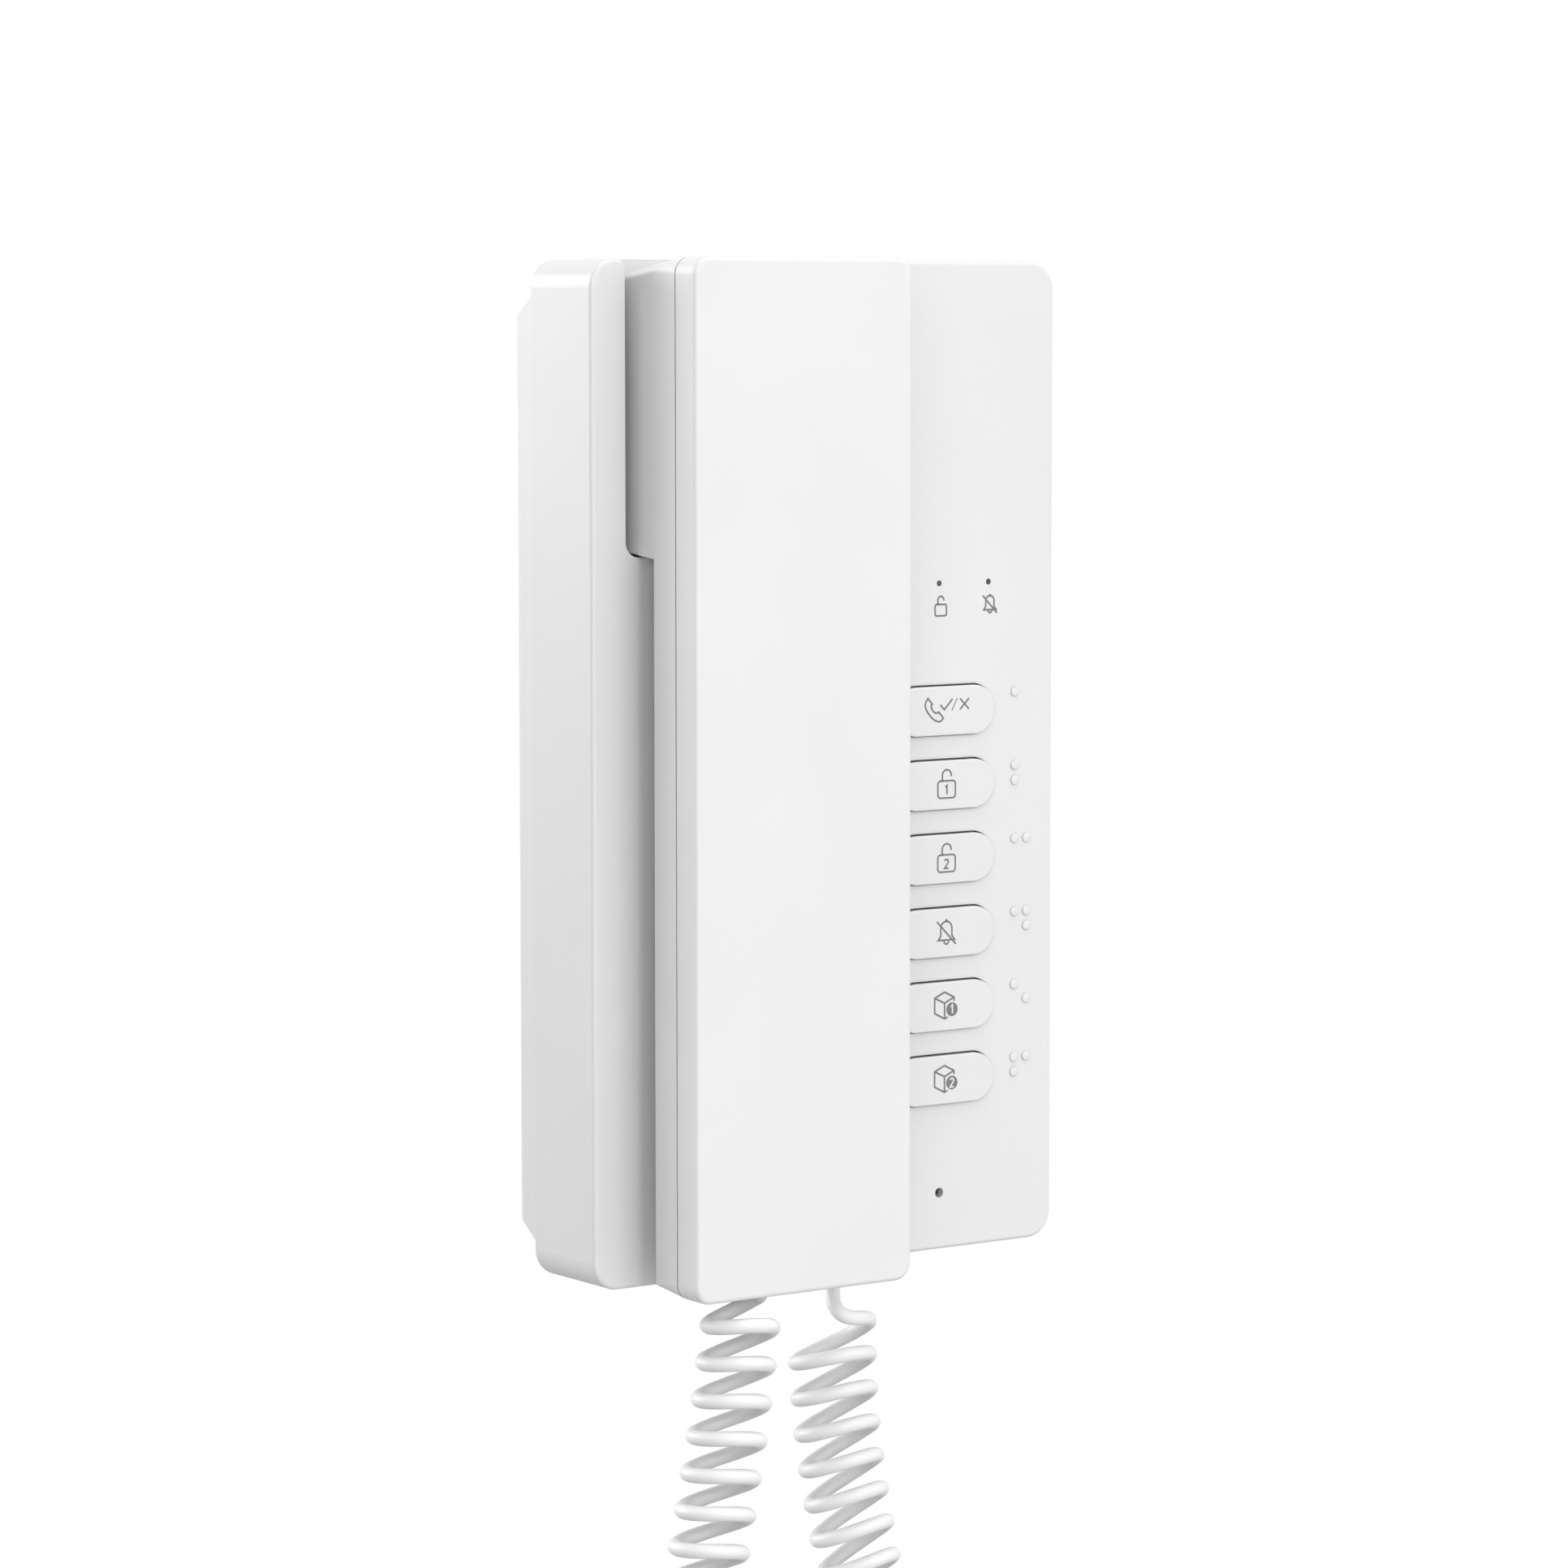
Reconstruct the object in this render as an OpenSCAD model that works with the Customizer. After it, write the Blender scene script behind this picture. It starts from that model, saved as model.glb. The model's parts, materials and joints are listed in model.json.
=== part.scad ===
// Slimline wall-mounted audio handset station: a wall plate, a clip-on housing with six
// call buttons, and a handset that hangs in a cradle on a curly cord.
// Frame: the wall is the plane Y = 0, the front faces -Y, Z is up, and the origin is the
// middle of the wall fixing holes. Each round wall that a fit depends on is a true cylinder.

/* [Base] */
// Width of the base
base_w = 112; // [104:1:130]
// Height of the base
base_h = 200; // [190:1:220]
// Depth of the housing in front of the wall plate
housing_d = 21.4; // [20.8:0.1:26]
// Depth of the stepped part of the wall plate behind the housing
plate_d = 7.6; // [6.6:0.1:12]
// Corner radius of the base seen from the front
base_corner_r = 5.5; // [4:0.5:10]
// Radius along the front edge of the base
base_soft = 0.8; // [0.4:0.1:1.5]
// Wall of the housing
wall = 2; // [1.6:0.1:2.4]
// How far the wall plate is set in at each side
plate_inset = 1.2; // [0.8:0.1:2]
// How far the wall plate is set in at top and bottom, where it meets the housing
plate_step = 4.8; // [4:0.1:8]
// Lean of the wall plate's top and bottom faces from the level
plate_slant = 35.6; // [20:0.1:45]
// Radius along the wall plate's edges at the wall
plate_soft = 0.9; // [0.5:0.1:2.2]
// Corner radius of the wall plate
plate_corner_r = 1; // [0.6:0.1:2]
// Back wall of the wall plate
plate_wall = 2.4; // [2:0.1:3.2]

/* [Wall fixings] */
// Fixing holes apart, across
fixing_x = 80; // [70:1:84]
// Fixing holes apart, up and down
fixing_z = 140; // [120:1:150]
// Radius of the wall fixing holes
fixing_r = 2.2; // [1.8:0.1:2.6]
// Holes for a round wall box apart, across
box_x = 60; // [56:1:64]
// Cable window width
window_w = 36; // [24:1:40]
// Cable window height
window_h = 26; // [20:1:40]

/* [Cradle] */
// Depth of the cradle below the front face
cradle_d = 12; // [10:0.1:12.4]
// Height of the cradle from the top edge down
cradle_h = 57.4; // [54:0.1:60]
// Clearance between the cradle and the earpiece at each side
cradle_side = 2.35; // [1:0.05:3.5]
// Corner radius at the foot of the cradle
cradle_corner_r = 3; // [1:0.5:5]
// Radius where the cradle runs out through the top edge
mouth_corner_r = 2; // [1:0.5:2.5]
// Width of the hook that the handset hangs on
hook_w = 14; // [8:1:20]
// Thickness of the hook
hook_t = 2.4; // [1.8:0.1:3]
// Reach of the hook from the cradle floor
hook_reach = 6.6; // [5:0.1:8]
// Foot of the hook below the top edge
hook_drop = 17.5; // [16:0.1:19]

/* [Buttons] */
// Number of buttons
buttons = 6; // [6:1:6]
// Width of a button
button_w = 24.4; // [20:0.1:26]
// Height of a button
button_h = 9.9; // [8:0.1:10.8]
// Distance from one button to the next, as a share of the base's height
button_share = 0.075; // [0.0725:0.0005:0.077]
// Middle of the buttons, in from the right edge of the base
button_side = 27.75; // [24:0.05:29]
// First button below the top edge
button_drop = 90.2; // [84:0.1:93]
// How far a button stands proud
button_proud = 1.1; // [0.85:0.05:1.4]
// Travel of a button
button_travel = 0.8; // [0.4:0.05:0.8]
// Gap round a button
button_gap = 0.25; // [0.15:0.05:0.4]
// How far a button hangs below the middle of its opening
button_hang = 0.1; // [0:0.01:0.1]
// Radius along the front edge of a button
button_soft = 0.3; // [0.3:0.1:0.8]

/* [Indicators and sounder] */
// First indicator hole, in from the right edge of the base
led_side = 28.9; // [26:0.1:32]
// Indicator holes apart
led_gap = 12.4; // [10:0.1:14]
// Indicator holes below the top edge
led_drop = 64.5; // [63.5:0.1:67]
// Radius of an indicator hole
led_r = 0.6; // [0.5:0.05:1]
// Sounder port, in from the right edge of the base
sounder_side = 28.6; // [24:0.1:31]
// Sounder port above the bottom edge
sounder_rise = 11.6; // [11:0.1:14]
// Radius of the sounder port
sounder_port_r = 1; // [0.6:0.1:1.5]

/* [Handset] */
// Width of the handset
handset_w = 51.1; // [46:0.1:56]
// Middle of the handset, left of the middle of the base
handset_left = 20.3; // [18:0.1:22]
// How far the handset's top stands over the base's
handset_over = 0.3; // [0:0.1:1]
// How far the handset's foot hangs below the base's
handset_under = 0.7; // [0:0.1:3]
// Thickness of the grip
grip_t = 14.65; // [14.5:0.05:18]
// Thickness of the handset's front cover
handset_cover_t = 6.65; // [5:0.05:7]
// Finger gap between the grip and the base
finger_gap = 5.95; // [5:0.05:8]
// Gap between the earpiece and the cradle floor
earpiece_gap = 1; // [0.8:0.1:1.5]
// Draft of the handset's top end
end_draft = 8.3; // [4:0.1:10]
// Draft of the handset's bottom end
bottom_draft = 15; // [4:0.1:18]
// Side draft of the earpiece block
side_draft = 3.5; // [1:0.1:5]
// Rise of the earpiece's lower face towards the wall
ledge_draft = 4.6; // [2:0.1:6]
// Corner radius of the handset seen from the front
handset_corner_r = 3.4; // [2:0.1:5]
// Corner radius at the top of the handset's back
back_corner_r = 1.8; // [1:0.1:3]
// Corner radius at the foot of the handset's back
foot_corner_r = 0.5; // [0.3:0.1:2]
// Radius along the handset's edges
handset_soft = 0.9; // [0.4:0.1:1.5]
// Radius along the back edges of the grip
grip_soft = 0.4; // [0.3:0.1:1]
// Wall of the handset
handset_wall = 2; // [1.5:0.1:2.4]
// Width of the seam groove between the handset's two halves
seam_w = 0.35; // [0.2:0.05:0.6]
// Depth of the seam groove
seam_d = 0.9; // [0.2:0.05:1]
// Radius of the mouthpiece rim at its foot
mouth_r = 13.5; // [12:0.1:15]

/* [Curly cord] */
// Thickness of the cord
cord_d = 3; // [2.4:0.1:3.2]
// Outer diameter of the curls at the handset's end
curl_d = 16.4; // [14:0.1:18]
// How much wider the curls are at the base's end
curl_spread = 1.9; // [0:0.1:2]
// Number of curls
curls = 42.9; // [38:0.1:46]
// Lowest point of the cord's middle line, below the middle of the base
loop_drop = 241; // [220:1:260]
// Lean of the curls at the handset's end
curl_lean_handset = 20.6; // [0:0.1:28]
// Lean of the curls at the base's end
curl_lean_base = 28; // [0:0.1:28]

/* [Hidden] */
$fn = 48;

past = 1;               // how far a cut runs past the face it opens
fit = 0.1;              // clearance of a part that slides in another
seat = 0.05;            // clearance of a fixed part in its seat
rest = 0.3;             // clearance of the hung handset from what it rests on
slice_t = 0.01;         // thickness of the slices that a hull joins
shell_white = [0.93, 0.93, 0.93];
key_white = [0.95, 0.95, 0.95];
board_green = [0.13, 0.36, 0.22];
dark_plastic = [0.12, 0.12, 0.13];
steel = [0.68, 0.69, 0.71];
rubber_grey = [0.2, 0.2, 0.21];
clear_plastic = [0.8, 0.86, 0.88];

// Planes of the base, as places along Y
plate_y = -plate_d;                         // where the housing meets the wall plate
front_y = plate_y - housing_d;              // front face of the base
inner_y = front_y + wall;                   // inside of the front wall
cradle_y = front_y + cradle_d;              // floor of the cradle
cradle_back_y = cradle_y + wall;            // back of the cradle floor
board_t = 1.6;
board_y = cradle_back_y + 0.6;              // front face of the circuit board
board_back_y = board_y + board_t;
top_z = base_h / 2;
bottom_z = -base_h / 2;
cradle_z = top_z - cradle_h;                // foot of the cradle
cradle_w = handset_w + 2 * cradle_side;
handset_x = -handset_left;
plate_rim_t = 1.6;                          // rim of the wall plate inside the housing
rim_gap = 0.2;                              // gap between that rim and the housing
rim_w = base_w - 2 * wall - 2 * rim_gap;
rim_h = base_h - 2 * wall - 2 * rim_gap;

// Buttons and the switches behind them
button_x = base_w / 2 - button_side;
button_pitch = button_share * base_h;
function button_z(i) = top_z - button_drop - (i - 1) * button_pitch;
flange_t = 1;
flange_over = 1;                            // how far a button's flange reaches past its edge
flange_y = inner_y + rest;                  // front of the flange at rest
switch_w = 6;
switch_d = 3.5;
switch_y = board_y - switch_d;              // front of the switch's housing
stem_r = 1.75;
stem_tip_y = switch_y - 3.5;                // tip of the stem at rest
stem_foot_y = board_y - 0.4 - button_travel;
post_r = 2.2;
post_pilot_d = 8;                           // depth of the screw holes in the board's posts

// Circuit board and its posts
board_margin = 4;                           // from the housing's inside to the board's edge
board_w = base_w - 2 * (wall + board_margin);
board_bottom_z = bottom_z + wall + board_margin;
board_top_z = cradle_z - wall - 0.6;
post_inset = 4.6;                           // from the board's side edge to its posts
post_x = board_w / 2 - post_inset;
post_rise = 6;                              // from the board's lower or upper edge to its posts
post_r_board = 3.2;
pilot_r = 1.25;
screw_r = 1.2;
posts = [[-post_x, board_bottom_z + post_rise], [post_x, board_bottom_z + post_rise],
         [-post_x, board_top_z - post_rise], [post_x, board_top_z - post_rise]];
led_x = base_w / 2 - led_side;
leds = [led_x, led_x + led_gap];
led_z = top_z - led_drop;
led_d = 0.8;
pipe_r = 1.5;
sounder_x = base_w / 2 - sounder_side;
sounder_z = bottom_z + sounder_rise;
sounder_r = 6;
sounder_d = 8;
duct_r = 3.6;

// Terminals
terminals = 6;
terminal_pitch = 5;
terminal_d = 8;
terminal_h = 10;
terminal_z = -30;
terminal_well_r = 1.9;
terminal_well_d = 4.5;
terminal_screw_t = 2.5;
terminal_slot_w = 0.5;
terminal_slot_d = 0.7;
wire_hole_r = 1.4;
wire_hole_l = 5;
wire_hole_y = 2.6;                          // middle of the wire hole, behind the board

// Hook and hook switch
hook_z = top_z - hook_drop;                 // foot of the hook's lower face
hook_gap = 0.4;                             // clearance of the hook in the handset's slot
plunger_drop = 40;                          // plunger below the top edge
plunger_z = top_z - plunger_drop;
plunger_r = 2.6;
plunger_travel = 2.5;
plunger_flange_r = 3.6;
plunger_flange_t = 0.8;
plunger_tip_y = cradle_y - earpiece_gap + rest;
plunger_flange_y = cradle_back_y + plunger_travel + rest;
plunger_flange_back_y = plunger_flange_y + plunger_flange_t;
guide_wall = 1.6;
spring_curls = 3;
spring_wire = 0.4;
spring_pitch = 0.85;
spring_r = 2.4;
spring_l = spring_curls * spring_pitch + spring_wire;
hook_switch_y = plunger_flange_back_y + spring_l + 2 * seat;
hook_switch_w = 12.8;
hook_switch_h = 6.5;
hook_switch_d = -plate_wall - 0.4 - hook_switch_y;
tail_r = 1.2;

// Jacks and plugs: the plug's body is plug_w wide, plug_t thick and plug_l long
plug_w = 7.7;
plug_t = 6.4;
plug_l = 11.5;
contact_pitch = 1.02;
contact_w = 0.5;
contact_d = 0.8;
contact_l = 3;
jack_w = 10.4;
jack_l = 14;
jack_t = 9.4;
plug_out = 0.5;                             // how far a plug stands out of its housing
base_jack_x = 8.4;
base_jack_y = board_y - jack_t / 2;

// Screw between the cover and the wall plate
cover_screw_x = -30;
cover_screw_y = plate_y - 3;
cover_screw_l = 8;
cover_screw_head_r = 2.2;
cover_screw_head_h = 1.1;
lug_w = 9;

// Planes of the handset, as places along Y
grip_y = front_y - finger_gap;              // back of the grip
handset_front_y = grip_y - grip_t;
seam_y = handset_front_y + handset_cover_t;
earpiece_y = cradle_y - earpiece_gap;       // back of the earpiece
handset_top_z = top_z + handset_over;
handset_bottom_z = bottom_z - handset_under;
handset_l = handset_top_z - handset_bottom_z;
handset_mid_z = (handset_top_z + handset_bottom_z) / 2;
earpiece_foot_z = cradle_z + rest;          // lower face of the earpiece, level with the base's front
receiver_r = 15;
receiver_d = 7;
receiver_drop = 38;                         // middle of the receiver below the base's top edge
receiver_z = top_z - receiver_drop;
gasket_t = 0.8;
receiver_y = earpiece_y - handset_wall - gasket_t;
seat_ring_t = 1.6;
seat_ring_h = 5;
boot_ring_t = 1.4;
boot_ring_h = 4;
mouth_wall = 1.4;                           // face of the mouthpiece
magnet_step = 4;                            // from the receiver's side to its magnet's
magnet_h = 2;
mouth_rise = 23;                            // middle of the mouthpiece above the handset's foot
mouth_z = handset_bottom_z + mouth_rise;
mouth_y = front_y - rest;                   // face of the mouthpiece rim
mouth_top_r = mouth_r - 2;
microphone_r = 3;
microphone_d = 3;
boot_r = 4.4;
boot_l = 5.4;
boot_y = mouth_y - mouth_wall;                     // back of the boot, against the mouthpiece's face
handset_jack_side = 10.3;                   // socket of the handset, left of its middle
handset_jack_x = handset_x - handset_jack_side;
handset_jack_y = handset_front_y + handset_wall + 0.2 + jack_t / 2;
cavity_lip = 1;                             // how far the cavity of the back half reaches past the seam
cavity_slope = (grip_y - grip_soft - seam_y) * tan(bottom_draft)
    / (grip_y - grip_soft - handset_wall - seam_y + cavity_lip);
handset_jack_z = handset_bottom_z + handset_wall + rest
    + (handset_jack_y + jack_t / 2 - seam_y + cavity_lip) * cavity_slope;
receiver_screw = 34;                        // upper handset screw below the receiver
mouth_screw = 32;                           // lower handset screw above the mouthpiece
handset_screw_z = [receiver_z - receiver_screw, mouth_z + mouth_screw];
counterbore_d = 2.2;
handset_boss_y = seam_y + 1.9;              // where the bosses of the two halves meet
handset_boss_r = 3.9;
lead_r = 0.8;
lead_sides = 12;

// Middle line of the cord: two arcs that meet at the bottom of the loop
cord_start = [handset_jack_x, handset_jack_y, handset_bottom_z - plug_out];
cord_end = [base_jack_x, base_jack_y, bottom_z - plug_out];
tail_handset = 0.4 * cord_d;                // straight length below the handset's plug
tail_base = 11.8;                           // straight length below the base's plug
loop_x = -8;
loop_reach = 60;                            // how flat the loop is at its bottom
strand_reach = 70;                          // how far each strand hangs before it turns
lean_handset = -0.1;                        // slope of the strand at the handset
lean_base = -0.045;                         // slope of the strand at the base
curl_r = (curl_d - cord_d) / 2;
rings = 8;                                  // rings of the tube in one curl
cord_sides = 6;
first_angle = 35;                           // where round the middle line the curls begin
uneven = -0.0104;                           // how much wider apart the curls are at the handset
ease = [1.6, 3.4];                          // rings in which the first and last curl open
squeeze = 113;                              // turn by which the first curl is pressed together
squeeze_curls = 0.8;                        // curls over which that wears off
lean_turn = [128.7, 264];                   // which way the curls lean at either end

// ---- Helpers ----

// Children drawn flat, with their height towards the front, from the plane y
module facing(y) {
    translate([0, y, 0]) rotate([90, 0, 0]) children();
}

// A flat shape of places [x, z], solid from y_front to y_back
module plate_of(y_front, y_back) {
    facing(y_back) linear_extrude(y_back - y_front) children();
}

// A round bar along Y
module rod(x, z, r, y_front, y_back) {
    translate([x, y_back, z]) rotate([90, 0, 0]) cylinder(r = r, h = y_back - y_front);
}

// A box by its middle in X and Z
module box(x, z, w, h, y_front, y_back) {
    translate([x - w / 2, y_front, z - h / 2]) cube([w, y_back - y_front, h]);
}

// A flat shape of places [y, z], solid from x0 to x1
module across(x0, x1) {
    translate([x0, 0, 0]) rotate([90, 0, 90]) linear_extrude(x1 - x0) children();
}

module rounded_rect(w, h, r) {
    square([w - 2 * r, h], center = true);
    square([w, h - 2 * r], center = true);
    for (x = [-1, 1], y = [-1, 1])
        translate([x * (w / 2 - r), y * (h / 2 - r)]) circle(r);
}

// A flat shape with half-round ends
module pill(w, h) {
    square([w - h, h], center = true);
    for (x = [-1, 1]) translate([x * (w - h) / 2, 0]) circle(h / 2);
}

// Half section of a slab whose far edge is rounded
module slab_edge(depth, reach, soft) {
    square([reach - soft, depth]);
    square([reach, depth - soft]);
    translate([reach - soft, depth - soft]) circle(soft);
}

module slab_section(depth, reach, soft) {
    slab_edge(depth, reach, soft);
    mirror([1, 0]) slab_edge(depth, reach, soft);
}

// A slab with round corners, whose edge is rounded all the way round its top
module soft_slab(w, h, depth, r, soft) {
    for (x = [-1, 1], y = [-1, 1])
        translate([x * (w / 2 - r), y * (h / 2 - r), 0])
            rotate_extrude() slab_edge(depth, r, soft);
    translate([r - w / 2, 0, 0]) rotate([90, 0, 90])
        linear_extrude(w - 2 * r) slab_section(depth, h / 2, soft);
    translate([0, h / 2 - r, 0]) rotate([90, 0, 0])
        linear_extrude(h - 2 * r) slab_section(depth, w / 2, soft);
}

// A slab with half-round ends, whose edge is rounded all the way round its top
module soft_pill(w, h, depth, soft) {
    for (x = [-1, 1]) translate([x * (w - h) / 2, 0, 0]) rotate_extrude() slab_edge(depth, h / 2, soft);
    translate([(h - w) / 2, 0, 0]) rotate([90, 0, 90]) linear_extrude(w - h) slab_section(depth, h / 2, soft);
}

// A thin slice of the handset's drafted back at a place along Y, set in by a margin
module back_slice(y, w, z_low, z_high, r, r_low, inset) {
    z_mid = (z_low + z_high) / 2;
    split = (z_high - z_low) / 6;
    translate([handset_x, 0, 0]) facing(y) linear_extrude(slice_t) {
        translate([0, (z_mid + split + z_high) / 2])
            rounded_rect(w - 2 * inset, z_high - z_mid - split - 2 * inset, max(0.3, r - inset));
        translate([0, (z_low + z_mid - split) / 2])
            rounded_rect(w - 2 * inset, z_mid - split - z_low - 2 * inset, max(0.3, r_low - inset));
    }
}

// ---- Tube along a list of points ----

function unit(v) = v / norm(v);

// Points of the rings of a tube: path is a list of [point, direction beside it]
function tube_rings(path, r, sides) = [
    for (i = [0 : len(path) - 1])
        let (a = path[max(0, i - 1)][0], b = path[min(len(path) - 1, i + 1)][0],
             t = unit(b - a), s = path[i][1], u = unit(s - (s * t) * t), v = cross(t, u))
        for (k = [0 : sides - 1])
            path[i][0] + r * (cos(360 * k / sides) * u + sin(360 * k / sides) * v)
];

module tube(path, r, sides) {
    n = len(path);
    side_faces = [
        for (i = [0 : n - 2], k = [0 : sides - 1])
            let (a = i * sides + k, b = i * sides + (k + 1) % sides)
            each [[a, a + sides, b], [b, a + sides, b + sides]]
    ];
    end_faces = [
        for (k = [1 : sides - 2])
            each [[0, k, k + 1], [(n - 1) * sides, (n - 1) * sides + k + 1, (n - 1) * sides + k]]
    ];
    polyhedron(tube_rings(path, r, sides), concat(side_faces, end_faces));
}

// Least gap between two turns of a tube, measured between the middles of its rings
function least_gap(path, d, apart) = min([
    for (i = [0 : len(path) - 1 - apart], j = [i + apart : len(path) - 1])
        norm(path[i][0] - path[j][0])
]) - d;

// ---- Housing ----

module cradle_outline() {
    foot = cradle_z + cradle_corner_r;
    translate([handset_x, 0]) {
        translate([-cradle_w / 2, foot]) square([cradle_w, top_z + past - foot]);
        translate([cradle_corner_r - cradle_w / 2, cradle_z])
            square([cradle_w - 2 * cradle_corner_r, cradle_corner_r + past]);
        for (x = [-1, 1]) {
            translate([x * (cradle_w / 2 - cradle_corner_r), foot]) circle(cradle_corner_r);
            // the cradle widens round a small radius where it meets the top edge
            translate([x * cradle_w / 2, top_z]) scale([x, 1]) difference() {
                translate([-past, -mouth_corner_r]) square([mouth_corner_r + past, mouth_corner_r + past]);
                translate([mouth_corner_r, -mouth_corner_r]) circle(mouth_corner_r);
                translate([mouth_corner_r, -mouth_corner_r]) square(2 * mouth_corner_r);
            }
        }
    }
}

// Section of the hook, with its lower face at hook_z where it leaves the cradle floor
module hook_section(grow) {
    run = hook_reach + past;
    rise = hook_t * sqrt(2);
    far = [cradle_y - hook_reach, hook_z + hook_reach + rise / 2];
    translate([0, hook_z - past + rise / 2]) polygon([
        [cradle_y + past, -(rise / 2 + grow * sqrt(2))],
        [cradle_y + past - run, run - (rise / 2 + grow * sqrt(2))],
        [cradle_y + past - run, run + rise / 2 + grow * sqrt(2)], [cradle_y + past, rise / 2 + grow * sqrt(2)]
    ]);
    translate(far) circle(hook_t / 2 + grow);
}

module front_cover() {
    guide_r = plunger_flange_r + fit + guide_wall;
    color(shell_white) {
        difference() {
            union() {
                difference() {
                    facing(plate_y) soft_slab(base_w, base_h, housing_d, base_corner_r, base_soft);
                    plate_of(inner_y, plate_y + past)
                        rounded_rect(base_w - 2 * wall, base_h - 2 * wall, base_corner_r - wall);
                }
                // walls and floor of the cradle, inside the housing
                box(handset_x, (cradle_z - wall + top_z - wall / 2) / 2, cradle_w + 2 * wall,
                    cradle_h + wall / 2, inner_y - wall / 2, cradle_back_y);
                for (p = posts) rod(p[0], p[1], post_r_board, inner_y - wall / 2, board_y);
                rod(sounder_x, sounder_z, duct_r, inner_y - wall / 2, board_y - sounder_d - seat);
                rod(handset_x, plunger_z, guide_r, cradle_back_y - wall / 2, hook_switch_y);
                // cheeks that hold the hook switch
                for (s = [-1, 1])
                    box(handset_x + s * (hook_switch_w / 2 + seat + 0.8), plunger_z, 1.6, hook_switch_h,
                        cradle_back_y - wall / 2, hook_switch_y + hook_switch_d - 1);
            }
            plate_of(front_y - past, cradle_y) cradle_outline();
            for (i = [1 : buttons])
                translate([button_x, 0, button_z(i) + button_hang]) plate_of(front_y - past, inner_y + past)
                    pill(button_w + 2 * button_gap, button_h + 2 * button_gap);
            for (x = leds) rod(x, led_z, led_r, front_y - past, inner_y + past);
            rod(sounder_x, sounder_z, sounder_port_r, front_y - past, plate_y);
            rod(sounder_x, sounder_z, duct_r - 1.2, inner_y, plate_y);
            for (p = posts) rod(p[0], p[1], pilot_r, board_y - post_pilot_d, board_y + past);
            rod(handset_x, plunger_z, plunger_r + fit, cradle_y - past, cradle_back_y + past);
            rod(handset_x, plunger_z, plunger_flange_r + fit, cradle_back_y, plate_y + past);
            // window for the cord's plug
            translate([base_jack_x - plug_w / 2 - 0.3, base_jack_y - plug_t / 2 - 0.3, bottom_z - past])
                cube([plug_w + 0.6, plug_t + 0.6, wall + 2 * past]);
            // countersunk hole for the cover screw
            translate([cover_screw_x, cover_screw_y, bottom_z - past])
                cylinder(r = screw_r + fit, h = wall + 2 * past);
            translate([cover_screw_x, cover_screw_y, bottom_z])
                cylinder(r1 = cover_screw_head_r + seat, r2 = screw_r + fit, h = cover_screw_head_h);
        }
        across(handset_x - hook_w / 2, handset_x + hook_w / 2) hook_section(0);
    }
}

// Half height of the wall plate's outside at the place y
function plate_half(y) = top_z - plate_step - (y - plate_y) * tan(plate_slant);

// A slice of the wall plate, set in from its outside all round
module plate_slice(y, set_in, y_half) {
    translate([0, y, 0]) rotate([90, 0, 0]) linear_extrude(slice_t, center = true)
        rounded_rect(base_w - 2 * plate_inset - 2 * set_in, 2 * (plate_half(y_half) - set_in),
            plate_corner_r, $fn = 32);
}

module wall_plate() {
    lug_top_z = cover_screw_l + 2 - rim_h / 2;
    color(shell_white) difference() {
        union() {
            difference() {
                union() {
                    hull() {
                        plate_slice(plate_y + slice_t / 2, 0, plate_y);
                        plate_slice(-plate_soft, 0, -plate_soft);
                        plate_slice(-0.4 * plate_soft, 0.2 * plate_soft, -0.4 * plate_soft);
                        plate_slice(-slice_t / 2, 0.7 * plate_soft, 0);
                    }
                    plate_of(plate_y - plate_rim_t, plate_y) rounded_rect(rim_w, rim_h, base_corner_r - wall);
                }
                hull() {
                    plate_slice(-plate_wall, wall, -plate_wall);
                    plate_slice(plate_y, wall, plate_y);
                    plate_slice(plate_y - plate_rim_t - past, wall, plate_y);
                }
            }
            for (x = [-1, 1], z = [-1, 1])
                rod(x * fixing_x / 2, z * fixing_z / 2, fixing_r + 3, -plate_wall - 1.4, -plate_wall / 2);
            for (x = [-1, 1]) rod(x * box_x / 2, 0, fixing_r + 3, -plate_wall - 1.4, -plate_wall / 2);
            // lug for the cover screw
            across(cover_screw_x - lug_w / 2, cover_screw_x + lug_w / 2) polygon([
                [board_back_y + rest, -rim_h / 2], [plate_y, -rim_h / 2],
                [plate_y, wall / 2 - plate_half(plate_y)],
                [-plate_wall / 2, wall / 2 - plate_half(-plate_wall / 2)],
                [-plate_wall / 2, lug_top_z], [board_back_y + rest, lug_top_z]
            ]);
        }
        for (x = [-1, 1], z = [-1, 1])
            rod(x * fixing_x / 2, z * fixing_z / 2, fixing_r, plate_y, past);
        for (x = [-1, 1]) rod(x * box_x / 2, 0, fixing_r, plate_y, past);
        plate_of(plate_y, past) rounded_rect(window_w, window_h, 3);
        translate([cover_screw_x, cover_screw_y, -rim_h / 2 - past])
            cylinder(r = screw_r + seat, h = cover_screw_l + past);
    }
}

module cover_screw() {
    color(steel) translate([cover_screw_x, cover_screw_y, bottom_z]) difference() {
        union() {
            cylinder(r1 = cover_screw_head_r, r2 = screw_r, h = cover_screw_head_h);
            cylinder(r = screw_r, h = cover_screw_l);
        }
        for (turn = [0, 90]) rotate([0, 0, turn]) translate([-1.2, -0.2, -past]) cube([2.4, 0.4, past + 0.6]);
    }
}

// ---- Electronics ----

module main_board() {
    color(board_green) difference() {
        box(0, (board_top_z + board_bottom_z) / 2, board_w, board_top_z - board_bottom_z,
            board_y, board_back_y);
        for (p = posts) rod(p[0], p[1], screw_r + fit, board_y - past, board_back_y + past);
    }
}

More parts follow.
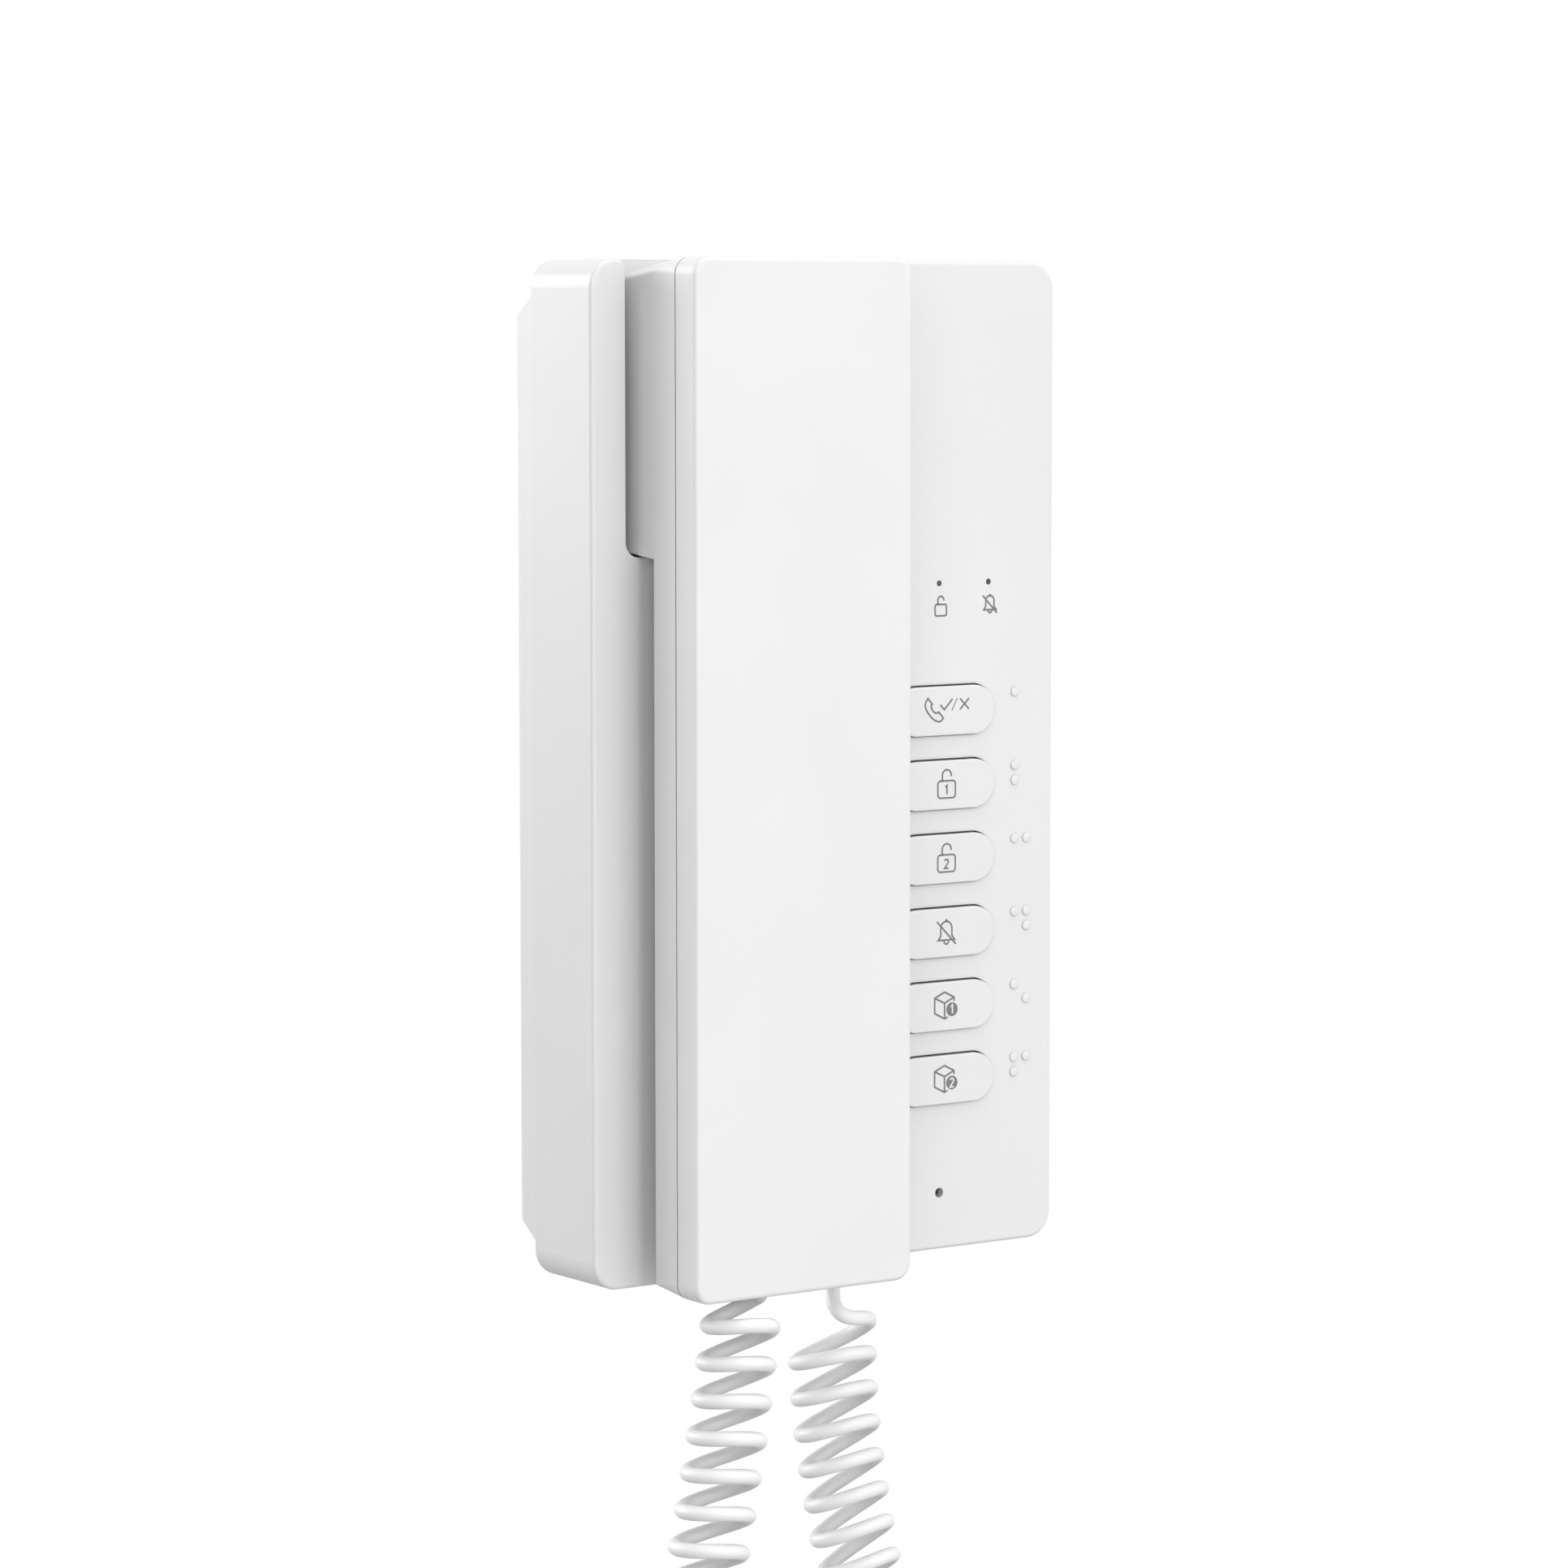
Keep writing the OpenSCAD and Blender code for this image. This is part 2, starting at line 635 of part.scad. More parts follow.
module board_screws() {
    head_h = 1.5;
    shank_l = 7;
    color(steel) for (p = posts) difference() {
        union() {
            rod(p[0], p[1], screw_r, board_back_y - shank_l, board_back_y + head_h);
            rod(p[0], p[1], 2.3, board_back_y, board_back_y + head_h);
        }
        for (turn = [0, 90]) translate([p[0], board_back_y + head_h, p[1]]) rotate([90, turn, 0])
            translate([-1.4, -0.25, -past]) cube([2.8, 0.5, past + 0.7]);
    }
}

module key_switches() {
    color(dark_plastic) for (i = [1 : buttons]) difference() {
        box(button_x, button_z(i), switch_w, switch_w, switch_y, board_y);
        rod(button_x, button_z(i), stem_r + fit, switch_y - past, board_y - 0.3);
    }
}

module key_stem(i) {
    color(dark_plastic) rod(button_x, button_z(i), stem_r, stem_tip_y, stem_foot_y);
}

module button(i) {
    flange_back_y = flange_y + flange_t;
    color(key_white) translate([button_x, 0, button_z(i)]) {
        facing(flange_back_y)
            soft_pill(button_w, button_h, flange_back_y - front_y + button_proud, button_soft);
        plate_of(flange_y, flange_back_y) pill(button_w + 2 * flange_over, button_h + 2 * flange_over);
        rod(0, 0, post_r, flange_back_y - flange_t / 2, stem_tip_y);
    }
}

module status_leds() {
    color(clear_plastic) for (x = leds) box(x, led_z, 3.2, 2.8, board_y - led_d, board_y);
}

module light_pipes() {
    color(clear_plastic) for (x = leds) {
        rod(x, led_z, led_r - seat, front_y, inner_y + past);
        rod(x, led_z, pipe_r, inner_y, board_y - led_d);
    }
}

module sounder() {
    color(dark_plastic) difference() {
        rod(sounder_x, sounder_z, sounder_r, board_y - sounder_d, board_y);
        rod(sounder_x, sounder_z, sounder_port_r, board_y - sounder_d - past, board_y - sounder_d + 3);
    }
}

module terminal_block() {
    w = terminals * terminal_pitch;
    back_y = board_back_y + terminal_d;
    color(board_green) difference() {
        box(0, terminal_z, w, terminal_h, board_back_y, back_y);
        for (i = [1 : terminals]) {
            x = (i - (terminals + 1) / 2) * terminal_pitch;
            rod(x, terminal_z, terminal_well_r, back_y - terminal_well_d, back_y + past);
            translate([x, board_back_y + wire_hole_y, terminal_z - terminal_h / 2 - past])
                cylinder(r = wire_hole_r, h = wire_hole_l + past);
        }
    }
}

module terminal_screws() {
    back_y = board_back_y + terminal_d;
    slot_y = back_y - terminal_well_d + terminal_screw_t - terminal_slot_d;
    color(steel) for (i = [1 : terminals]) {
        x = (i - (terminals + 1) / 2) * terminal_pitch;
        difference() {
            rod(x, terminal_z, terminal_well_r - seat, back_y - terminal_well_d, slot_y + terminal_slot_d);
            box(x, terminal_z, 2 * terminal_well_r + past, terminal_slot_w, slot_y, back_y);
        }
    }
}

// ---- Hook switch ----

module hook_plunger() {
    color(dark_plastic) {
        rod(handset_x, plunger_z, plunger_r, plunger_tip_y, plunger_flange_y + plunger_flange_t / 2);
        rod(handset_x, plunger_z, plunger_flange_r, plunger_flange_y, plunger_flange_back_y);
        rod(handset_x, plunger_z, tail_r, plunger_flange_y, hook_switch_y - rest);
    }
}

function spring_path() = [
    for (i = [0 : spring_curls * rings])
        let (a = 360 * i / rings)
        [[handset_x + spring_r * cos(a), plunger_flange_back_y + seat + spring_wire / 2
          + spring_pitch * i / rings, plunger_z + spring_r * sin(a)], [cos(a), 0, sin(a)]]
];

module hook_spring() {
    color(steel) tube(spring_path(), spring_wire / 2, cord_sides);
}

module hook_switch() {
    color(dark_plastic) box(handset_x, plunger_z, hook_switch_w, hook_switch_h,
                            hook_switch_y, hook_switch_y + hook_switch_d);
}

// ---- Jacks and plugs ----

// A socket that opens downwards, with its mouth at the height z
module jack(x, y, z) {
    color(dark_plastic) difference() {
        translate([x - jack_w / 2, y - jack_t / 2, z]) cube([jack_w, jack_t, jack_l]);
        translate([x - plug_w / 2 - fit, y - plug_t / 2 - fit, z - past])
            cube([plug_w + 2 * fit, plug_t + 2 * fit, plug_l]);
    }
}

// A modular plug whose lower end is at the height z
module plug(x, y, z, l) {
    color(clear_plastic) difference() {
        translate([x - plug_w / 2, y - plug_t / 2, z]) cube([plug_w, plug_t, l]);
        // slots of the four contacts
        for (i = [-1.5 : 1.5])
            translate([x + i * contact_pitch - contact_w / 2, y - plug_t / 2 - past, z + l - contact_l])
                cube([contact_w, past + contact_d, contact_l + past]);
    }
}

module base_jack() {
    jack(base_jack_x, base_jack_y, bottom_z + wall);
}

module base_plug() {
    plug(base_jack_x, base_jack_y, bottom_z - plug_out, plug_l);
}

module handset_jack() {
    jack(handset_jack_x, handset_jack_y, handset_jack_z);
}

module handset_plug() {
    plug(handset_jack_x, handset_jack_y, handset_bottom_z - plug_out, plug_l);
}

// ---- Handset ----

module handset_plug_window() {
    translate([handset_jack_x - plug_w / 2 - 0.3, handset_jack_y - plug_t / 2 - 0.3, handset_bottom_z - past])
        cube([plug_w + 0.6, plug_t + 0.6, handset_wall + 3 * past]);
}

module handset_cover() {
    color(shell_white) difference() {
        union() {
            difference() {
                translate([handset_x, 0, handset_mid_z]) facing(seam_y)
                    soft_slab(handset_w, handset_l, handset_cover_t, handset_corner_r, handset_soft);
                translate([handset_x, 0, handset_mid_z])
                    plate_of(handset_front_y + handset_wall, seam_y + past)
                        rounded_rect(handset_w - 2 * handset_wall, handset_l - 2 * handset_wall,
                                     handset_corner_r - handset_wall);
            }
            for (z = handset_screw_z)
                rod(handset_x, z, handset_boss_r - 0.8, handset_front_y + handset_wall / 2, handset_boss_y);
        }
        for (z = handset_screw_z)
            rod(handset_x, z, pilot_r, handset_front_y + handset_wall, handset_boss_y + past);
        handset_plug_window();
    }
}

// The drafted back: the whole of the grip, and the earpiece block behind it
module handset_back(inset, grow) {
    tip = tan(end_draft);
    lean = tan(ledge_draft);
    function top_at(y) = handset_top_z - (y - seam_y) * tip;
    function bottom_at(y) = handset_bottom_z + (y - seam_y) * tan(bottom_draft);
    function foot_at(y) = earpiece_foot_z + (y - front_y) * lean;
    function width_at(y) = handset_w - 2 * (y - grip_y) * tan(side_draft);
    edge = handset_soft;
    // grip
    hull() {
        back_slice(seam_y - grow + slice_t, handset_w, handset_bottom_z, handset_top_z,
                   handset_corner_r, handset_corner_r, inset);
        back_slice(grip_y - grip_soft - inset, handset_w, bottom_at(grip_y - grip_soft),
                   top_at(grip_y - grip_soft), back_corner_r, foot_corner_r, inset);
        back_slice(grip_y - 0.3 * grip_soft - inset, handset_w - 0.6 * grip_soft,
                   bottom_at(grip_y) + 0.3 * grip_soft, top_at(grip_y) - 0.3 * grip_soft,
                   back_corner_r, foot_corner_r, inset);
        back_slice(grip_y - inset, handset_w - 2 * grip_soft, bottom_at(grip_y) + grip_soft,
                   top_at(grip_y) - grip_soft, back_corner_r, foot_corner_r, inset);
    }
    // earpiece block
    hull() {
        back_slice(seam_y + 0.6, handset_w, foot_at(seam_y), top_at(seam_y + 0.6),
                   handset_corner_r, foot_corner_r, inset);
        back_slice(grip_y, handset_w, foot_at(grip_y), top_at(grip_y), back_corner_r, foot_corner_r, inset);
        back_slice(earpiece_y - 1.5 * edge - inset, width_at(earpiece_y), foot_at(earpiece_y),
                   top_at(earpiece_y), back_corner_r, foot_corner_r, inset);
        back_slice(earpiece_y - 0.45 * edge - inset, width_at(earpiece_y) - 0.9 * edge,
                   foot_at(earpiece_y) + 0.45 * edge, top_at(earpiece_y) - 0.45 * edge,
                   back_corner_r, foot_corner_r, inset);
        back_slice(earpiece_y - inset, width_at(earpiece_y) - 3 * edge, foot_at(earpiece_y) + 1.5 * edge,
                   top_at(earpiece_y) - 1.5 * edge, back_corner_r, foot_corner_r, inset);
    }
}

// Round rim that carries the microphone and rests on the base
module mouthpiece() {
    round_r = 1;
    translate([handset_x, grip_y, mouth_z]) rotate([-90, 0, 0]) rotate_extrude() {
        h = mouth_y - grip_y;
        polygon([[0, -handset_wall], [mouth_r, -handset_wall], [mouth_r, 0], [mouth_top_r, h - round_r],
                 [mouth_top_r - round_r, h], [0, h]]);
        translate([mouth_top_r - round_r, h - round_r]) circle(round_r);
    }
}

module handset_shell() {
    counterbore_y = grip_y - counterbore_d;
    color(shell_white) difference() {
        union() {
            difference() {
                union() {
                    handset_back(0, 0);
                    mouthpiece();
                }
                handset_back(handset_wall, cavity_lip);
                rod(handset_x, mouth_z, mouth_top_r - 3, grip_y - handset_wall - past, mouth_y - mouth_wall);
            }
            // bosses for the screws, and seat rings for the receiver and the microphone's boot
            for (z = handset_screw_z)
                rod(handset_x, z, handset_boss_r, handset_boss_y, grip_y - handset_wall / 2);
            rod(handset_x, receiver_z, receiver_r + fit + seat_ring_t,
                earpiece_y - handset_wall - seat_ring_h, earpiece_y - handset_wall / 2);
            rod(handset_x, mouth_z, boot_r + fit + boot_ring_t, boot_y - boot_ring_h, mouth_y - mouth_wall / 2);
        }
        rod(handset_x, receiver_z, receiver_r + fit,
            earpiece_y - handset_wall - seat_ring_h - past, earpiece_y - handset_wall);
        rod(handset_x, mouth_z, boot_r + fit, boot_y - boot_ring_h - past, mouth_y - mouth_wall);
        for (z = handset_screw_z) {
            rod(handset_x, z, screw_r + fit, handset_boss_y - past, grip_y + past);
            rod(handset_x, z, 2.6, counterbore_y, grip_y + past);
        }
        // sound holes of the earpiece: a ring of twelve round a ring of six round one
        for (n = [[0, 1], [4, 6], [8, 12]], k = [1 : n[1]])
            rod(handset_x + n[0] * cos(360 * k / n[1]), receiver_z + n[0] * sin(360 * k / n[1]), 1,
                earpiece_y - handset_wall - past, earpiece_y + past);
        for (n = [[0, 1], [2.4, 6]], k = [1 : n[1]])
            rod(handset_x + n[0] * cos(360 * k / n[1]), mouth_z + n[0] * sin(360 * k / n[1]), 0.7,
                mouth_y - 2.4, mouth_y + past);
        across(handset_x - hook_w / 2 - hook_gap, handset_x + hook_w / 2 + hook_gap) hook_section(hook_gap);
        handset_plug_window();
        // the seam: a groove all round, where this half meets the cover
        translate([handset_x, 0, handset_mid_z]) plate_of(seam_y - past, seam_y + seam_w) difference() {
            rounded_rect(handset_w + 2 * past, handset_l + 2 * past, handset_corner_r + past);
            rounded_rect(handset_w - 2 * seam_d, handset_l - 2 * seam_d, handset_corner_r - seam_d);
        }
    }
}

module handset_screws() {
    head_h = 1.6;
    floor_y = grip_y - counterbore_d;
    color(steel) for (z = handset_screw_z) difference() {
        union() {
            rod(handset_x, z, screw_r, handset_boss_y - 3.4, floor_y);
            rod(handset_x, z, 2.3, floor_y, floor_y + head_h);
        }
        for (turn = [0, 90]) translate([handset_x, floor_y + head_h, z]) rotate([90, turn, 0])
            translate([-1.4, -0.25, -past]) cube([2.8, 0.5, past + 0.7]);
    }
}

module receiver() {
    color(dark_plastic) {
        rod(handset_x, receiver_z, receiver_r, receiver_y - receiver_d + magnet_h, receiver_y);
        rod(handset_x, receiver_z, receiver_r - magnet_step,
            receiver_y - receiver_d, receiver_y - receiver_d + magnet_h + past);
    }
}

module receiver_gasket() {
    color(rubber_grey) difference() {
        rod(handset_x, receiver_z, receiver_r, receiver_y, receiver_y + gasket_t);
        rod(handset_x, receiver_z, receiver_r - 3, receiver_y - past, receiver_y + gasket_t + past);
    }
}

module microphone() {
    color(steel) rod(handset_x, mouth_z, microphone_r, boot_y - 1 - microphone_d, boot_y - 1);
}

module microphone_boot() {
    color(rubber_grey) difference() {
        rod(handset_x, mouth_z, boot_r, boot_y - boot_l, boot_y);
        rod(handset_x, mouth_z, microphone_r, boot_y - 1 - microphone_d, boot_y - 1);
        rod(handset_x, mouth_z, microphone_r - 0.6, boot_y - boot_l - past, boot_y - 1);
        rod(handset_x, mouth_z, 1.2, boot_y - 2, boot_y + past);
    }
}

// Wires from the jack up to the receiver, and from the jack to the microphone
module handset_leads() {
    jack_top_z = handset_jack_z + jack_l;
    y = handset_jack_y;
    apart = 2;                              // from the middle of the jack to a lead
    turn_d = 2;                             // last straight length, square to what the lead meets
    receiver_back_y = receiver_y - receiver_d;
    microphone_back_y = boot_y - 1 - microphone_d;
    receiver_run = [[handset_jack_x - apart, y, jack_top_z],
                    [handset_jack_x - apart, y, receiver_z - receiver_r - 3 * apart],
                    [handset_x, receiver_back_y - 2 * turn_d, receiver_z - receiver_r / 4],
                    [handset_x, receiver_back_y - turn_d, receiver_z],
                    [handset_x, receiver_back_y, receiver_z]];
    microphone_run = [[handset_jack_x + apart, y, jack_top_z], [handset_jack_x + apart, y, mouth_z - apart],
                      [handset_x, boot_y - boot_l - turn_d, mouth_z],
                      [handset_x, microphone_back_y - turn_d / 2, mouth_z],
                      [handset_x, microphone_back_y, mouth_z]];
    color(rubber_grey) for (run = [receiver_run, microphone_run])
        tube([for (p = run) [p, [1, 0, 0]]], lead_r, lead_sides);
}

// ---- Curly cord ----

function arc(a, b, c, d, t) =
    pow(1 - t, 3) * a + 3 * pow(1 - t, 2) * t * b + 3 * (1 - t) * t * t * c + pow(t, 3) * d;

coil_start = cord_start - [0, 0, tail_handset];
coil_end = cord_end - [0, 0, tail_base];

// Middle line of the coiled part, for t from 0 at the handset to 1 at the base
function middle(t) =
    let (low = [loop_x, 0, -loop_drop],
         flat = t < 0.5
            ? arc(coil_start, coil_start + strand_reach * [lean_handset, 0, -1],
                  low - [loop_reach, 0, 0], low, 2 * t)
            : arc(low, low + [loop_reach, 0, 0], coil_end + strand_reach * [lean_base, 0, -1],
                  coil_end, 2 * t - 1),
         y = coil_start[1] + (coil_end[1] - coil_start[1]) * (3 * t * t - 2 * pow(t, 3)))
    [flat[0], y, flat[2]];

middle_steps = 200;
// Length along the middle line against t, so that the curls are evenly spaced
travel = [for (i = 0, s = 0; i <= middle_steps;
               s = s + norm(middle((i + 1) / middle_steps) - middle(i / middle_steps)), i = i + 1)
          [s, i / middle_steps]];
coil_length = travel[middle_steps][0];

function smooth(t) = let (c = max(0, min(1, t))) c * c * (3 - 2 * c);

// One point of the coil and the direction beside it, for a share f of the coil's length
function curl_point(f) =
    let (t = lookup(f * coil_length, travel), step = 0.002,
         along = unit(middle(min(1, t + step)) - middle(max(0, t - step))),
         beside = unit(cross(along, [0, 1, 0])), before = cross(beside, along),
         turned = first_angle + 360 * curls * (f + uneven * f * (1 - f)),
         a = turned - squeeze * (1 - smooth(f * curls / squeeze_curls)),
         side = cos(a) * beside + sin(a) * before,
         r = (curl_r + curl_spread * f / 2)
             * smooth(f * curls * rings / ease[0]) * smooth((1 - f) * curls * rings / ease[1]),
         lean = tan(curl_lean_handset + (curl_lean_base - curl_lean_handset) * f),
         turn = lean_turn[0] + (lean_turn[1] - lean_turn[0]) * f)
    [middle(t) + r * side + r * lean * cos(a - turn) * along, side];

function tail_points(top, length, from, side) = [for (s = from) [top - [0, 0, s * length], side]];

cord_path = concat(
    tail_points(cord_start, tail_handset, [0, 0.8], curl_point(0)[1]),
    [for (i = [0.5 : 1 : curls * rings - 0.5]) curl_point(i / (curls * rings))],
    tail_points(cord_end, tail_base, [0.97, 0.66, 0.33, 0], curl_point(1)[1])
);

module coil_cord() {
    color(shell_white) tube(cord_path, cord_d / 2, cord_sides);
    echo(str("least gap of the cord to itself: ", least_gap(cord_path, cord_d, 5), " mm"));
    echo(str("coil length along its middle: ", coil_length, " mm"));
}

front_cover();
wall_plate();
cover_screw();
main_board();
board_screws();
key_switches();
button(1);  // button_1
button(2);  // button_2
button(3);  // button_3
button(4);  // button_4
button(5);  // button_5
button(6);  // button_6
key_stem(1);  // key_stem_1
key_stem(2);  // key_stem_2
key_stem(3);  // key_stem_3
key_stem(4);  // key_stem_4
key_stem(5);  // key_stem_5
key_stem(6);  // key_stem_6
status_leds();
light_pipes();
sounder();
terminal_block();
terminal_screws();
hook_plunger();
hook_spring();
hook_switch();
base_jack();
base_plug();
handset_cover();
handset_shell();
handset_screws();
receiver();
receiver_gasket();
microphone();
microphone_boot();
handset_jack();
handset_leads();
handset_plug();
coil_cord();
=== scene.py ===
import json
import math

import bmesh
import bpy
from mathutils import Euler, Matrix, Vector


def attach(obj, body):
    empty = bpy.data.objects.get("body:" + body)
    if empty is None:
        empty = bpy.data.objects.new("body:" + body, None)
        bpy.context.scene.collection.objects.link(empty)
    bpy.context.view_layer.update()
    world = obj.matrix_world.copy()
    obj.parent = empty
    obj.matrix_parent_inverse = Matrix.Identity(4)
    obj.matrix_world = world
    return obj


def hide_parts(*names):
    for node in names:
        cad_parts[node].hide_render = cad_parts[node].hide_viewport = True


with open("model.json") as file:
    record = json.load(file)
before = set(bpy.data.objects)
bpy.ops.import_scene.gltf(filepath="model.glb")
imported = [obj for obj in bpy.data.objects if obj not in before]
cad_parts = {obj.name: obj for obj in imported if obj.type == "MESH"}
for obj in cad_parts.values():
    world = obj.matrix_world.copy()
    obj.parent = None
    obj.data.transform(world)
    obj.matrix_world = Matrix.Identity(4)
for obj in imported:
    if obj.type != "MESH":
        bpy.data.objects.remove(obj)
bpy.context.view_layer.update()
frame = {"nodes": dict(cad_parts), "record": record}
MM = 0.001

# ---------------------------------------------------------------- camera
# Fitted to the photograph's edges. The lens is in millimetres, the place in metres, and the tilt
# below the level, the roll and the turn from +Y are in degrees.
FOCAL_MM, SENSOR_MM = 119.84, 36.0
CAMERA_AT = (-0.59979, -0.87068, 0.08842)
CAMERA_TILT, CAMERA_ROLL, CAMERA_TURN = 5.088, 0.038, -34.977
CLIP = (0.01, 20.0)


def make_camera():
    data = bpy.data.cameras.new("camera")
    data.sensor_fit = "HORIZONTAL"
    data.sensor_width = SENSOR_MM
    data.lens = FOCAL_MM
    data.clip_start, data.clip_end = CLIP
    cam = bpy.data.objects.new("camera", data)
    cam.location = CAMERA_AT
    angles = (90 - CAMERA_TILT, CAMERA_ROLL, CAMERA_TURN)
    cam.rotation_euler = Euler([math.radians(a) for a in angles], "XYZ")
    bpy.context.scene.collection.objects.link(cam)
    bpy.context.scene.camera = cam


make_camera()

# ---------------------------------------------------------------- curly cord: its route
# The CAD solid's route, with its curls laid closer to the photograph's. Lengths are in
# millimetres and angles in degrees. SLOPES, CURL_R, LEAN and LEAN_TURN hold the value at the
# handset's end and the one at the base's.
PLUG_HANDSET = Vector((-28.0, -45.0, -100.8))
PLUG_BASE = Vector((8.4, -19.1, -100.5))
CORD_D = 3.0
SIDES = 16
# The coil's middle line: its ends and lowest point, how far each pulls on it, and its ends' slopes
COIL_START = Vector((-30.8, -42.7, -103.03))
COIL_END = Vector((7.74, -19.1, -112.74))
LOW = Vector((-8.0, 0.0, -241.0))
STRAND_REACH, LOOP_REACH = 70.0, 60.0
SLOPES = (-0.1, -0.024)
# The curls: their radius and number, where the first begins, and how unevenly they follow
CURL_R = (6.5, 7.7)
CURLS = 43.03
FIRST_ANGLE = 32.6
UNEVEN = -0.01
# How far the curls lean along the coil, and towards which side. The values at the handset's end
# begin to give way at LEAN_FROM, as a share of the coil, and are gone LEAN_OVER further on.
LEAN = (19.4, 22.1)
LEAN_TURN = (124.5, 252.9)
LEAN_FROM, LEAN_OVER = 0.3, 0.4
# Points of the route for each curl, and the part of the middle line that gives its direction
RINGS = 20
NEARBY = 0.002
# The runs between plugs and coil: the coil's points where they join it, the way out of the
# handset, the straight length into the base's plug and its parts, and for each run how far it is
# pulled as it leaves and as it arrives
FIRST_POINT, LAST_POINT = 3, 852
WAY_OUT = Vector((0.6, 0.75, -0.32)).normalized()
STRAIGHT, STRAIGHT_STEPS = 5.0, 4
HEAD_PULLS = (15.0, 15.0)
TAIL_PULLS = (30.0, 4.0)
# The finished route's points are this far apart, before one more is added between each two
ROUTE_STEP = 2.0


def arc(a, b, c, d, t):
    """A cubic Bezier curve's point."""
    s = 1 - t
    return s ** 3 * a + 3 * s * s * t * b + 3 * s * t * t * c + t ** 3 * d


def middle(t):
    """The coil's middle line, from the handset's side at 0 to the base's at 1."""
    pull = Vector((LOOP_REACH, 0, 0))
    if t < 0.5:
        leave = STRAND_REACH * Vector((SLOPES[0], 0, -1))
        p = arc(COIL_START, COIL_START + leave, LOW - pull, LOW, 2 * t)
    else:
        arrive = STRAND_REACH * Vector((SLOPES[1], 0, -1))
        p = arc(LOW, LOW + pull, COIL_END + arrive, COIL_END, 2 * t - 1)
    y = COIL_START.y + (COIL_END.y - COIL_START.y) * (3 * t * t - 2 * t ** 3)
    return Vector((p.x, y, p.z))


def smooth(t):
    """0 to 1 with a level start and end."""
    t = min(1.0, max(0.0, t))
    return t * t * (3 - 2 * t)


def between(pair, f):
    return pair[0] + (pair[1] - pair[0]) * f


def travel_table(steps=400):
    """The middle line's length from its start to t, as (length, t)."""
    table = [(0.0, 0.0)]
    last = middle(0.0)
    for i in range(1, steps + 1):
        p = middle(i / steps)
        table.append((table[-1][0] + (p - last).length, i / steps))
        last = p
    return table


TRAVEL = travel_table()
COIL_LENGTH = TRAVEL[-1][0]


def t_at(length):
    """The middle line's t at a length from its start."""
    low, high = 0, len(TRAVEL) - 1
    while high - low > 1:
        mid = (low + high) // 2
        if TRAVEL[mid][0] <= length:
            low = mid
        else:
            high = mid
    s0, t0 = TRAVEL[low]
    s1, t1 = TRAVEL[high]
    return t0 + (t1 - t0) * (length - s0) / (s1 - s0)


def curl_point(f):
    """The cord's point at the share f of the coil's length."""
    t = t_at(f * COIL_LENGTH)
    along = (middle(min(1.0, t + NEARBY)) - middle(max(0.0, t - NEARBY))).normalized()
    beside = along.cross(Vector((0, 1, 0))).normalized()
    before = beside.cross(along)
    a = math.radians(FIRST_ANGLE + 360 * CURLS * (f + UNEVEN * f * (1 - f)))
    r = between(CURL_R, f)
    share = smooth((f - LEAN_FROM) / LEAN_OVER)
    lean = math.tan(math.radians(between(LEAN, share)))
    turn = math.radians(between(LEAN_TURN, share))
    return (middle(t) + r * math.cos(a) * beside + r * math.sin(a) * before
            + r * lean * math.cos(a - turn) * along)


def bridge(a, b, pull_a, pull_b, steps=14):
    """A smooth run that leaves a along pull_a and arrives along pull_b; b itself is left out."""
    out = []
    for i in range(steps):
        t = i / steps
        s = 1 - t
        out.append((1 + 2 * t) * s * s * a + t * s * s * pull_a
                   + t * t * (3 - 2 * t) * b - t * t * s * pull_b)
    return out


def cord_route():
    n = int(CURLS) * RINGS
    curls = [curl_point((i + 0.5) / n) for i in range(n)]

    def heading(i):
        return (curls[i + 1] - curls[i - 1]).normalized()

    leave, arrive = HEAD_PULLS
    head = bridge(PLUG_HANDSET, curls[FIRST_POINT], leave * WAY_OUT, arrive * heading(FIRST_POINT))
    leave, arrive = TAIL_PULLS
    foot = PLUG_BASE - Vector((0, 0, STRAIGHT))
    tail = bridge(curls[LAST_POINT], foot, leave * heading(LAST_POINT),
                  arrive * Vector((0, 0, 1)))
    straight = [foot.lerp(PLUG_BASE, s / STRAIGHT_STEPS) for s in range(STRAIGHT_STEPS + 1)]
    return head + curls[FIRST_POINT:LAST_POINT] + tail + straight


def even(points, step):
    """The same route with its points a step apart."""
    out, left = [points[0]], step
    for a, b in zip(points, points[1:]):
        length = (b - a).length
        at = left
        while at < length:
            out.append(a + (b - a) * (at / length))
            at += step
        left = at - length
    if (points[-1] - out[-1]).length < 0.5 * step:
        out.pop()
    return out + [points[-1]]


def relax(points, reach=12, rounds=12):
    """Eases the corners near both ends of a route, with the ends kept."""
    n = len(points)
    for _ in range(rounds):
        new = list(points)
        for i in range(2, n - 2):
            near = min(i, n - 1 - i)
            if near < reach:
                share = 0.5 * (1 - smooth(near / reach))
                new[i] = points[i].lerp(0.5 * (points[i - 1] + points[i + 1]), share)
        points = new
    return points


def refine(points):
    """The same curve with a point added halfway between each two."""
    out = []
    for i, (b, c) in enumerate(zip(points, points[1:])):
        a = points[i - 1] if i else b
        d = points[i + 2] if i + 2 < len(points) else c
        out += [b, (9 * (b + c) - a - d) / 16]
    return out + [points[-1]]


# ---------------------------------------------------------------- mesh helpers
def new_object(name, bm, smooth_faces=False):
    mesh = bpy.data.meshes.new(name)
    bm.normal_update()
    if smooth_faces:
        for face in bm.faces:
            face.smooth = True
    bm.to_mesh(mesh)
    bm.free()
    obj = bpy.data.objects.new(name, mesh)
    bpy.context.scene.collection.objects.link(obj)
    return obj


